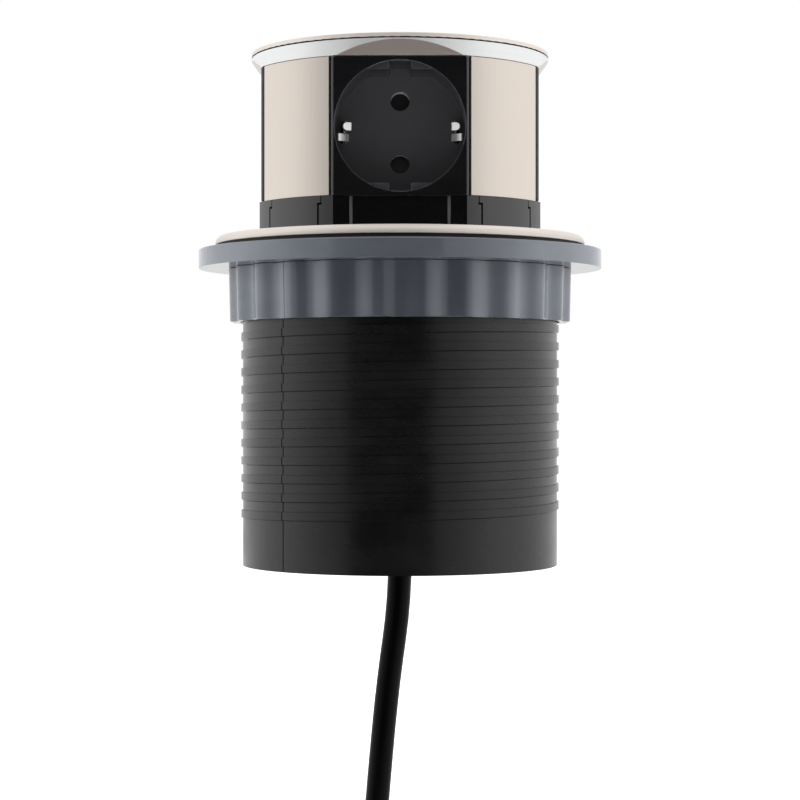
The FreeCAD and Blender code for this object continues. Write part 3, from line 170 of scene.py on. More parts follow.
class Shader(Nodes):
    """A material's nodes, with the patterns that the finishes share."""

    def __init__(self, name: str) -> None:
        """Start a material with its main shader.

        Args:
            name: The material's name.
        """
        self.material = bpy.data.materials.new(name)
        self.material.use_nodes = True
        super().__init__(self.material.node_tree)
        self.surface = self.tree.nodes["Principled BSDF"]

    def place(self) -> bpy.types.NodeSocket:
        """The point's place on the object, in metres."""
        return self.node("ShaderNodeTexCoord", {}).outputs["Object"]

    def azimuth(self) -> bpy.types.NodeSocket:
        """The point's angle round the vertical axis, in radians from +X."""
        parts = self.parts(self.place())
        return self.sum("ARCTAN2", parts["Y"], parts["X"])

    def reach(self) -> bpy.types.NodeSocket:
        """How far out the point lies, measured square to the nearest socket face."""
        parts = self.parts(self.place())
        return self.sum("MAXIMUM", *(self.sum("ABSOLUTE", parts[axis]) for axis in ("X", "Y")))

    def in_recess(self) -> bpy.types.NodeSocket:
        """Tell the walls and floors of the four socket recesses from the rest.

        Returns:
            One on them and nought elsewhere.
        """
        below_face = self.sum("LESS_THAN", self.reach(), RECESS_MOUTH)
        above_holes = self.sum("GREATER_THAN", self.reach(), RECESS_FLOOR)
        return self.sum("MULTIPLY", below_face, above_holes)

    def speckle(self, per_metre: Sequence[float], detail: float) -> bpy.types.NodeSocket:
        """Noise with a number of specks per metre along each axis."""
        spread = self.node("ShaderNodeMapping", {"Vector": self.place(), "Scale": per_metre})
        return self.noise(spread.outputs[0], detail)

    def ring_lines(self, per_metre: float, detail: float) -> bpy.types.NodeSocket:
        """Add noise in lines that run round the vertical axis.

        Args:
            per_metre: How many lines there are per metre, up and outward.
            detail: How many finer layers the noise has.

        Returns:
            The noise, about 0.3 to 0.7.
        """
        parts = self.parts(self.place())
        flat = self.node("ShaderNodeCombineXYZ", {0: parts["X"], 1: parts["Y"]}).outputs[0]
        around = self.sum("MULTIPLY", self.azimuth(), 1.5)
        high = self.sum("MULTIPLY", parts["Z"], per_metre)
        wide = self.sum("MULTIPLY", self.length(flat), per_metre)
        spread = self.node("ShaderNodeCombineXYZ", {0: around, 1: high, 2: wide})
        return self.noise(spread.outputs[0], detail)

    def spread(self, noise: bpy.types.NodeSocket, low: float, high: float) -> bpy.types.NodeSocket:
        """Map noise of 0.3 to 0.7 to a range of values."""
        return self.ramp(noise, 0.3, 0.7, low, high, "LINEAR")

    def blend(self, factor: object, first: object, second: object) -> bpy.types.NodeSocket:
        """Mix two colours by a factor."""
        return self.node("ShaderNodeMix", {0: factor, 6: first, 7: second}, data_type="RGBA").outputs[2]

    def relief(self, height: bpy.types.NodeSocket, depth: float) -> None:
        """Press a height pattern into the surface, depth in millimetres."""
        bump = self.node("ShaderNodeBump", {"Height": height, "Distance": depth * MM, "Strength": 1.0})
        self.tree.links.new(bump.outputs[0], self.surface.inputs["Normal"])

    def set(self, name: str, wanted: object) -> None:
        """Give the main shader a value or another node's output.

        Args:
            name: The input's name.
            wanted: The value, or the socket of the other node.
        """
        if isinstance(wanted, bpy.types.NodeSocket):
            self.tree.links.new(wanted, self.surface.inputs[name])
        else:
            self.surface.inputs[name].default_value = wanted


class Grain(Enum):
    """Which way a metal's brushed lines run, by how far they are drawn out along each axis."""

    AROUND = None
    UPRIGHT = (1, 1, 90)
    LEVEL = (90, 90, 1)
    ACROSS = (90, 1, 1)


@dataclass(frozen=True)
class Metal:
    """A metal with brushed or drawn lines.

    Attributes:
        name: The material's name.
        colour: The colour as a screen shows it.
        roughness: The mean roughness.
        grain: Which way the lines run.
        lines: Lines per metre across the grain.
        contrast: How much darker the darkest lines are, 0 to 1.
        stretch: How far the lines pull a highlight apart, 0 to 1.
        uneven: How much the roughness changes from line to line, 0 to 1.
        smears: Soft darker smears per metre.
        smeared: How dark the smears are, as a share of the darkest lines.
        line_depth: Depth of the lines in millimetres.
    """

    name: str
    colour: tuple[int, int, int]
    roughness: float
    grain: Grain
    lines: float
    contrast: float
    stretch: float = 0.0
    uneven: float = 0.15
    smears: float = 28.0
    smeared: float = 0.25
    line_depth: float = 0.004

    def make(self) -> bpy.types.Material:
        """Build the material's nodes.

        Returns:
            The material.
        """
        shader = Shader(self.name)
        if self.grain is Grain.AROUND:
            lines = shader.ring_lines(self.lines, 3.0)
        else:
            lines = shader.speckle([self.lines / drawn_out for drawn_out in self.grain.value], 3.0)
        smears = shader.speckle([self.smears] * 3, 2.0)
        base = linear(*self.colour)
        dark = darker(base, 1 - self.contrast)
        lined = shader.blend(shader.spread(lines, 0.0, 1.0), dark, base)
        shader.set("Base Color", shader.blend(shader.spread(smears, 0.0, self.smeared), lined, dark))
        smoothest, roughest = (self.roughness * (1 + sign * self.uneven) for sign in (-1, 1))
        shader.set("Roughness", shader.spread(lines, smoothest, roughest))
        shader.set("Metallic", 1.0)
        if self.stretch:
            shader.set("Anisotropic", self.stretch)
            if self.grain is Grain.AROUND:
                shader.set("Anisotropic Rotation", 0.25)
            tangent = shader.node("ShaderNodeTangent", {}, direction_type="RADIAL", axis="Z")
            shader.set("Tangent", tangent.outputs[0])
        shader.relief(lines, self.line_depth)
        return shader.material


@dataclass(frozen=True)
class Moulding:
    """A moulded plastic or rubber.

    Attributes:
        name: The material's name.
        colour: The colour as a screen shows it.
        roughness: The mean roughness.
        mottle: How much the roughness and colour vary in soft patches, 0 to 1.
        texture: Specks of the mould's fine texture per metre.
        texture_depth: Depth of the fine texture in millimetres.
        seams: Azimuths of mould parting lines in degrees from +X.
        seam_width: Width of a parting line in degrees.
        level: Share of the usual dielectric reflection, 0.5 as a rule.
        inner: A light grey painted as light on the floor and walls behind a socket's polished face, where
            the black, spark-eroded plastic lies in shade.
        painted_light_ends: Where that painted light begins and ends to darken outward, in metres from the
            axis.
        painted_mouth_shade: The share of that painted light which is left at the recess's mouth, as painted
            shade.
        inner_roughness: The roughness of that floor.
        seam_depth: Depth of a parting line as a multiple of the fine texture's.
        seam_shade: The share of the colour which is left in a parting line.
    """

    name: str
    colour: tuple[int, int, int]
    roughness: float
    mottle: float = 0.15
    texture: float = 2200.0
    texture_depth: float = 0.006
    seams: tuple[float, ...] = ()
    seam_width: float = 0.35
    level: float = 0.5
    inner: tuple[int, int, int] | None = None
    painted_light_ends: tuple[float, float] = (0.024, 0.042)
    painted_mouth_shade: float = 0.28
    inner_roughness: float = 0.6
    seam_depth: float = 6.0
    seam_shade: float = 0.25

    def make(self) -> bpy.types.Material:
        """Build the material's nodes.

        Returns:
            The material.
        """
        shader = Shader(self.name)
        base = linear(*self.colour)
        patches = shader.speckle((55.0, 55.0, 90.0), 4.0)
        height = shader.speckle([self.texture] * 3, 2.0)
        level = self.level
        rough = shader.spread(patches, *(self.roughness * (1 + sign * self.mottle) for sign in (-1, 1)))
        shades = (darker(base, 1 + sign * self.mottle) for sign in (-1, 1))
        colour = shader.blend(shader.spread(patches, 0.0, 1.0), *shades)
        # Painted light: a recess's floor and walls get a light grey, fading to painted shade toward its
        # mouth
        if self.inner:
            behind = shader.in_recess()
            outward = shader.ramp(shader.reach(), *self.painted_light_ends, 0.0, 1.0)
            floor = linear(*self.inner)
            painted_recess_light = shader.blend(outward, floor, darker(floor, self.painted_mouth_shade))
            colour = shader.blend(behind, colour, painted_recess_light)
            rough = shader.ramp(behind, 0.0, 1.0, rough, self.inner_roughness, "LINEAR")
        shader.set("Roughness", rough)
        for seam in self.seams:
            away = shader.sum("ABSOLUTE", shader.sum("SUBTRACT", shader.azimuth(), math.radians(seam)))
            near = shader.sum("LESS_THAN", away, math.radians(self.seam_width) / 2)
            colour = shader.blend(near, colour, darker(base, self.seam_shade))
            height = shader.sum("SUBTRACT", height, shader.sum("MULTIPLY", near, self.seam_depth))
            level = shader.ramp(near, 0.0, 1.0, level, 0.0, "LINEAR")
        shader.set("Base Color", colour)
        shader.set("Specular IOR Level", level)
        shader.relief(height, self.texture_depth)
        return shader.material


class Finish(Enum):
    """The finishes of the power strip's pieces."""

    PANEL_STEEL = Metal("panel steel", (232, 222, 212), 0.36, Grain.UPRIGHT, 3200.0, 0.08, 0.5)
    RING_STEEL = Metal("ring steel", (247, 239, 232), 0.6, Grain.AROUND, 3000.0, 0.05, 0.6)
    TOP_STEEL = Metal("top steel", (234, 227, 220), 0.4, Grain.ACROSS, 2800.0, 0.1)
    SKIRT_PLATE = Metal("plated skirt", (242, 243, 243), 0.45, Grain.AROUND, 2200.0, 0.03, 0.8)
    # The skirt's metal painted darker and browner, as painted shade on its down-facing facets
    FACET_STEEL = Metal("skirt metal with painted shade", (211, 202, 197), 0.36, Grain.LEVEL, 2600.0, 0.1)
    SPRING_STEEL = Metal("spring steel", (253, 253, 250), 0.29, Grain.UPRIGHT, 1800.0, 0.08)
    PLUG_METAL = Metal("nickelled plug metal", (202, 198, 186), 0.2, Grain.AROUND, 1500.0, 0.08)
    BRASS = Metal("contact brass", (214, 178, 96), 0.28, Grain.UPRIGHT, 1600.0, 0.15)
    SCREW_STEEL = Metal("screw steel", (168, 170, 172), 0.3, Grain.AROUND, 1800.0, 0.15)
    # Its recesses carry painted light on their floors and painted shade toward their mouths
    SOCKET_BLACK = Moulding(
        "black socket plastic", (14, 14, 16), 0.22, 0.12, 2600.0, 0.003, inner=(84, 84, 88)
    )
    # A lighter grey painted on edges and slanted sides as a painted highlight
    EDGE_BLACK = Moulding("black edge with painted sheen", (96, 96, 100), 0.3, 0.1, 2400.0, 0.002)
    # A near-white painted on the pin holes' walls as a painted highlight, the crescent of light inside each
    # hole
    HOLE_RIM = Moulding("pin hole", (206, 206, 210), 0.4, 0.1, 2400.0, 0.002)
    COLLAR_BLACK = Moulding("black collar plastic", (3, 3, 4), 0.17, 0.12, 2400.0, 0.003, level=0.95)
    BODY_BLACK = Moulding(
        "black barrel plastic", (12, 12, 13), 0.28, 0.2, 900.0, 0.008, (-135.2,), 0.4, level=0.48
    )
    INNER_BLACK = Moulding("inner black plastic", (20, 20, 22), 0.5)
    RING_GREY = Moulding("grey ring plastic", (88, 92, 99), 0.14, 0.08, 1500.0, 0.002, level=0.74)
    # The flange's grey painted darker and less glossy on the nut, as painted shade under the flange's
    # overhang
    NUT_GREY = Moulding("grey nut plastic with painted shade", (74, 78, 85), 0.14, 0.08, 1500.0, 0.002, (-130.6,), level=0.68)
    GASKET = Moulding("gasket rubber", (30, 29, 28), 0.75)
    CORD_JACKET = Moulding("cord jacket", (1, 1, 1), 0.36, 0.12, 1800.0, 0.01, level=0.1)
    PLUG_RUBBER = Moulding("plug rubber", (16, 16, 17), 0.5, 0.15, 1400.0, 0.02)
    SHUTTER = Moulding("shutter plastic", (12, 12, 13), 0.4)

    @property
    def material(self) -> bpy.types.Material:
        """The finish's material, made on first use."""
        return bpy.data.materials.get(self.value.name) or self.value.make()


# Making pieces

DOUBLES = 1e-3
SHARP_FROM = 32.0


@dataclass(frozen=True)
class Edges:
    """Rounded edges that a piece gets.

    Attributes:
        width: Width of the rounding in millimetres.
        steps: Faces across the rounding.
        angle: Least angle of an edge that is rounded, in degrees.
        painted_sheen: Whether the rounding gets a lighter grey finish, a painted highlight on the edge.
    """

    width: float
    steps: int = 2
    angle: float = 40.0
    painted_sheen: bool = False


def facing(number: int) -> Matrix:
    """The turn that takes socket face 1 to another one."""
    return Matrix.Rotation(math.radians(90 * number - 90), 3, "Z")


def clamped(value: float) -> float:
    """A number kept between nought and one."""
    return min(max(value, 0.0), 1.0)


def only(parts: Iterable[object], kind: type) -> list:
    """The corners, the edges or the faces among a mesh's parts."""
    return [part for part in parts if isinstance(part, kind)]


def to_radius(corner: bmesh.types.BMVert, radius: float) -> None:
    """Move a corner in or out to a distance from the vertical axis."""
    corner.co.xy = corner.co.xy.normalized() * radius


def cut(mesh: bmesh.types.BMesh, place: Vector, normal: Vector, clear: bool = False) -> list:
    """Cut a mesh by a plane.

    Args:
        mesh: The mesh.
        place: A point of the plane.
        normal: The plane's direction.
        clear: Whether what lies past the plane is dropped.

    Returns:
        The corners and edges of the cut.
    """
    everything = [*mesh.verts, *mesh.edges, *mesh.faces]
    halves = bmesh.ops.bisect_plane(
        mesh, geom=everything, plane_co=place, plane_no=normal, clear_outer=clear
    )
    return halves["geom_cut"]


def turned(profile: Profile, steps: int, degrees: float = 360.0, start: float = 0.0) -> bmesh.types.BMesh:
    """Turn a closed section about the vertical axis.

    Args:
        profile: The section's corners as radius and level.
        steps: Faces round the turn.
        degrees: How far the section turns.
        start: Azimuth of the turn's start in degrees from +X.

    Returns:
        A closed mesh in millimetres.
    """
    whole = degrees == 360.0
    mesh = bmesh.new()
    corners = [mesh.verts.new((radius, 0.0, level)) for radius, level in profile]
    if whole:
        section = corners + [mesh.edges.new(ends) for ends in zip(corners, corners[1:] + corners[:1])]
    else:
        section = [mesh.faces.new(corners)]
    bmesh.ops.spin(
        mesh,
        geom=section,
        cent=CENTRE,
        axis=UP,
        dvec=CENTRE,
        angle=math.radians(degrees),
        steps=steps,
        use_merge=whole,
    )
    bmesh.ops.remove_doubles(mesh, verts=mesh.verts, dist=DOUBLES)
    turn = Matrix.Rotation(math.radians(start), 3, "Z")
    bmesh.ops.rotate(mesh, verts=mesh.verts, cent=CENTRE, matrix=turn)
    bmesh.ops.recalc_face_normals(mesh, faces=mesh.faces)
    return mesh


def drawn_on(mesh: bmesh.types.BMesh, ring: list[bmesh.types.BMEdge], path: Profile) -> list:
    """Extrude a closed ring of edges through more rings.

    Args:
        mesh: The mesh.
        ring: The edges to start from.
        path: Each further ring's radius and level in millimetres.

    Returns:
        The last ring's edges.
    """
    for radius, level in path:
        extruded = bmesh.ops.extrude_edge_only(mesh, edges=ring)["geom"]
        ring = only(extruded, bmesh.types.BMEdge)
        for corner in only(extruded, bmesh.types.BMVert):
            to_radius(corner, radius)
            corner.co.z = level
    return ring


def taken(data: bpy.types.Mesh, doubles: float) -> bmesh.types.BMesh:
    """Take a mesh up for more work.

    Args:
        data: The mesh in metres.
        doubles: Corners nearer than this are merged, in millimetres.

    Returns:
        The mesh in millimetres.
    """
    mesh = bmesh.new()
    mesh.from_mesh(data)
    bmesh.ops.scale(mesh, verts=mesh.verts, vec=(1 / MM, 1 / MM, 1 / MM))
    bmesh.ops.remove_doubles(mesh, verts=mesh.verts, dist=doubles)
    return mesh


def copied(node: str) -> bmesh.types.BMesh:
    """Copy a node's mesh with its loose triangles merged into whole faces.

    Args:
        node: The node's name.

    Returns:
        A closed mesh in millimetres.
    """
    mesh = taken(NODES[node].data, 0.005)
    bmesh.ops.dissolve_limit(mesh, angle_limit=math.radians(0.6), verts=mesh.verts, edges=mesh.edges)
    return mesh


def added(name: str, data: bpy.types.ID) -> bpy.types.Object:
    """Add an object to the scene.

    Args:
        name: The object's name.
        data: Its mesh, curve, camera or lamp.

    Returns:
        The new object.
    """
    made = bpy.data.objects.new(name, data)
    bpy.context.scene.collection.objects.link(made)
    return made


def hand_over(
    mesh: bmesh.types.BMesh,
    name: str,
    finish: Finish,
    body: str,
    instead_of: str,
    edges: Edges | None = None,
) -> bpy.types.Object:
    """Make an object of a mesh and give it its body, finish and edges.

    Args:
        mesh: The mesh in millimetres; it is freed.
        name: The piece's name.
        finish: Its finish.
        body: The body that it moves with.
        instead_of: The node that it stands for.
        edges: Its rounded edges.

    Returns:
        The new object.
    """
    bmesh.ops.scale(mesh, verts=mesh.verts, vec=(MM, MM, MM))
    data = bpy.data.meshes.new(name)
    mesh.to_mesh(data)
    mesh.free()
    if "custom_normal" in data.attributes:
        data.attributes.remove(data.attributes["custom_normal"])
    data.materials.append(finish.material)
    data.shade_smooth()
    data.set_sharp_from_angle(angle=math.radians(SHARP_FROM))
    made = added(name, data)
    if edges:
        rounding = made.modifiers.new("rounded edges", "BEVEL")
        rounding.width = edges.width * MM
        rounding.segments = edges.steps
        rounding.limit_method = "ANGLE"
        rounding.angle_limit = math.radians(edges.angle)
        rounding.harden_normals = True
        # Painted highlight: the rounding takes a lighter grey in place of the sheen its edges would catch
        if edges.painted_sheen:
            data.materials.append(Finish.EDGE_BLACK.material)
            rounding.material = 1
    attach(made, body)
    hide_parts(instead_of)
    LOG.info("%s: %d faces, in place of %s", name, len(data.polygons), instead_of)
    return made


def touch_up(piece: bpy.types.Object, finish: Finish, chosen: Callable[[Vector, Vector], bool]) -> None:
    """Give some faces of a piece another finish.

    Args:
        piece: The piece.
        finish: The finish of the chosen faces.
        chosen: Says by a face's centre in millimetres and its normal if it is chosen.
    """
    piece.data.materials.append(finish.material)
    last = len(piece.data.materials) - 1
    for face in piece.data.polygons:
        if chosen(face.center / MM, face.normal):
            face.material_index = last


def dress(finish: Finish, *names: str) -> None:
    """Give nodes of the frame a finish.

    Args:
        finish: The finish.
        names: The nodes' names.
    """
    for name in names:
        data = NODES[name].data
        data.materials.clear()
        data.materials.append(finish.material)
        LOG.info("%s: %s", name, finish.value.name)


# Sub-assemblies


@dataclass
class MainsCord:
    """The mains cord with its gland, clamp and plug, and the lead inside the barrel."""

    diameter: float = 7.5
    start: float = -95.4
    rest: float = -221.25
    coil_radius: float = 48.0
    coil_pitch: float = 8.3
    coil_dip: float = 1.8
    climb_turns: float = 0.5
    whole_turns: int = 5
    per_turn: int = 16
    plug_tilt: float = 10.0
    plug_entry: tuple[float, float, float] = (9.0, -26.0, -214.42)
    sleeve: float = 24.0
    grip: float = 20.0
    disc: float = 17.0
    plug_radius: float = 18.5
    relief_radius: float = 5.2
    relief_taper: float = 0.05
    ribs: int = 5
    rib_foot: float = 3.0
    rib_step: float = 4.0
    rib_depth: float = 0.8
    groove_half: float = 2.5
    groove_depth: float = 1.0
    lead_top: float = 10.0
    lead_straight: float = 13.0
    lead_loop: float = 18.0
    lead_steps: int = 20

    def lead(self) -> list[Vector]:
        """Route the free stretch from the gland down to the coil, and a straight step into it.

        Returns:
            The points.
        """
        return [
            Vector((0, 0, self.start)),
            Vector((0, 0, self.start - 14)),
            Vector((-3.7, 0, -135)),
            Vector((-6.2, 0.3, -161)),
            Vector((-8.4, 2.6, self.rest + 33)),
            Vector((-11.8, 15.4, self.rest + 11.8)),
            Vector((-17.5, 36.6, self.rest)),
            Vector((-23.8, 60.2, self.rest)),
        ]

    def coil_place(self, share: float, centre: Vector, first: float, turns: float) -> Vector:
        """Where the coil's centre line is: in on the lower layer, up, and out on the upper one.

        Args:
            share: Share of the turns that are done.
            centre: The coil's centre.
            first: The angle at which it starts, in radians.
            turns: All its turns.

        Returns:
            The point.
        """
        done = share * turns
        layer = (turns - self.climb_turns) / 2
        inner = self.coil_radius - layer * self.coil_pitch
        past_climb = done - layer - self.climb_turns
        if done <= layer:
            radius, rise = self.coil_radius - done * self.coil_pitch, 0.0
        elif past_climb >= 0:
            radius, rise = inner + past_climb * self.coil_pitch, 1.0
        else:
            climbed = (done - layer) / self.climb_turns
            radius = inner - self.coil_dip * math.sin(math.pi * climbed) ** 2
            rise = climbed - math.sin(FULL_TURN * climbed) / FULL_TURN
        angle = first - FULL_TURN * done
        across = Vector((radius * math.cos(angle), radius * math.sin(angle), 0))
        return centre + across + UP * (self.rest + rise * self.coil_pitch)

    def tail(self, coil_end: Vector, heading: Vector) -> list[Vector]:
        """Route the stretch from the coil into the plug.

        Args:
            coil_end: The last point of the coil.
            heading: The direction in which the cord leaves it.

        Returns:
            The points.
        """
        tilt = math.radians(self.plug_tilt)
        entry = Vector(self.plug_entry)
        into_plug = Vector((-math.cos(tilt), 0, math.sin(tilt)))
        return [
            coil_end + heading * 27,
            Vector((68.8, 14.1, self.rest + 4)),
            Vector((61, -4.3, self.rest + 1.4)),
            Vector((46.9, -18.4, self.rest + 1)),
            entry - into_plug * 19.7,
            entry,
        ]

    def route(self) -> list[Vector]:
        """Put the cord's whole route together.

        Returns:
            All the points of its spline.
        """
        points = self.lead()
        heading = (points[-1] - points[-2]).normalized()
        inward = Vector((heading.y, -heading.x, 0))
        coil_start = points[-1] + heading * self.diameter
        centre = Vector((coil_start.x, coil_start.y, 0)) + inward * self.coil_radius
        first = math.atan2(-inward.y, -inward.x) % FULL_TURN
        turns = self.whole_turns + first / FULL_TURN
        steps = round(turns * self.per_turn)
        coil = [self.coil_place(step / steps, centre, first, turns) for step in range(steps + 1)]
        coil_end = coil[-1] + FRONT * self.diameter
        return points + coil + [coil_end] + self.tail(coil_end, FRONT)

    def tube(self, name: str, points: Sequence[Vector]) -> bpy.types.Object:
        """Make a round tube on a smooth spline.

        Args:
            name: The object's name.
            points: The spline's control points in millimetres.

        Returns:
            A curve object.
        """
        curve = bpy.data.curves.new(name, "CURVE")
        curve.dimensions = "3D"
        curve.bevel_depth = self.diameter / 2 * MM
        curve.bevel_resolution = 6
        curve.use_fill_caps = True
        curve.resolution_u = 4
        spline = curve.splines.new("NURBS")
        spline.points.add(len(points) - 1)
        for point, place in zip(spline.points, points):
            point.co = (*(place * MM), 1.0)
        spline.order_u = 3
        spline.use_endpoint_u = True
        curve.materials.append(Finish.CORD_JACKET.material)
        return added(name, curve)

    def lay_cord(self, plug: Sequence[bpy.types.Object]) -> None:
        """Lay the mains cord from its gland through the coil into the plug.

        Args:
            plug: The plug's pieces; not used.
        """
        cord = self.tube("mains_cord", self.route())
        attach(cord, "housing")
        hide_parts("cord_lead", "cord_coil", "cord_tail")
        LOG.info("mains_cord: %d points", len(cord.data.splines[0].points))

    def inner_lead(self) -> None:
        """Make the looped lead inside the barrel as one fixed mesh; the real lead is squeezed as the turret
        sinks.
        """
        low, high = self.start, self.lead_top
        points = [Vector((0, 0, low))]
        for step in range(self.lead_steps + 1):
            share = step / self.lead_steps
            swing = min(2 * share, 2 - 2 * share)
            radius = self.lead_loop * swing * swing * (3 - 2 * swing)
            angle = FULL_TURN * share
            level = low + self.lead_straight + share * (high - low - 2 * self.lead_straight)
            points.append(Vector((radius * math.cos(angle), radius * math.sin(angle), level)))
        points.append(Vector((0, 0, high)))
        guide = self.tube("inner_lead_guide", points)
        data = bpy.data.meshes.new_from_object(guide)
        bpy.data.objects.remove(guide)
        mesh = taken(data, DOUBLES)
        bpy.data.meshes.remove(data)
        lead = hand_over(mesh, "lead_inside", Finish.CORD_JACKET, "housing", "inner_lead")
        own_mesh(lead)

    def plug_section(self) -> Profile:
        """Draw the section of the plug's moulding, with ribs on its bend relief.

        Returns:
            The corners as radius and distance from the cord's entry.
        """
        sleeve, grip = self.sleeve, self.sleeve + self.grip
        face = grip + self.disc
        section = [(0.0, 0.0), (self.relief_radius, 0.0)]
        for rib in range(self.ribs):
            foot = self.rib_foot + rib * self.rib_step
            outer = self.relief_radius + self.relief_taper * foot
            inner = outer - self.rib_depth
            section += [(outer, foot), (inner, foot + 0.3), (inner, foot + 1.3), (outer, foot + 1.6)]
        section += [(6.4, sleeve), (10.4, sleeve + 0.2), (11.2, sleeve + 2.0), (12.2, sleeve + 7.0)]
        section += [(14.2, sleeve + 14.0), (16.5, grip - 0.4), (18.1, grip), (self.plug_radius, grip + 0.6)]
        section += [(self.plug_radius, face), (self.plug_radius - 1.0, face), (0.0, face)]
        return section

    def plug(self) -> list[bpy.types.Object]:
        """Turn the plug's moulding and sink the grooves for its earth strips.

        Returns:
            The plug's pieces.
        """
        mesh = turned(self.plug_section(), 96)
        for side in (-self.groove_half, self.groove_half):
            cut(mesh, Vector((0, side, 0)), Vector((0, 1, 0)))
        bottom = self.plug_radius - self.groove_depth
        groove = []
        for part in mesh.faces:
            middle = part.calc_center_median()
            on_disc = middle.xy.length > bottom + 0.1 and middle.z > self.sleeve + self.grip + 1
            if on_disc and abs(middle.y) < self.groove_half:
                groove.append(part)
        sunk = bmesh.ops.extrude_face_region(mesh, geom=groove)["geom"]
        for corner in only(sunk, bmesh.types.BMVert):
            if corner.co.xy.length > bottom:
                to_radius(corner, bottom)
        bmesh.ops.delete(mesh, geom=groove, context="FACES")
        bmesh.ops.remove_doubles(mesh, verts=mesh.verts, dist=0.01)
        tilt = Matrix.Rotation(math.radians(self.plug_tilt - 90), 4, "Y")
        bmesh.ops.transform(mesh, verts=mesh.verts, matrix=Matrix.Translation(self.plug_entry) @ tilt)
        edges = Edges(0.5, 2, 35.0)
        body = hand_over(
            mesh, "plug_moulding", Finish.PLUG_RUBBER, "housing", "plug_body", edges
        )
        dress(Finish.PLUG_METAL, "plug_pins", "plug_earth_strips")
        return [body, NODES["plug_pins"], NODES["plug_earth_strips"]]

    def build(self) -> None:
        """Build the cord, its plug and the lead inside."""
        self.lay_cord(self.plug())
        self.inner_lead()
        dress(Finish.PLUG_RUBBER, "cord_gland")
        dress(Finish.INNER_BLACK, "cord_clamp")


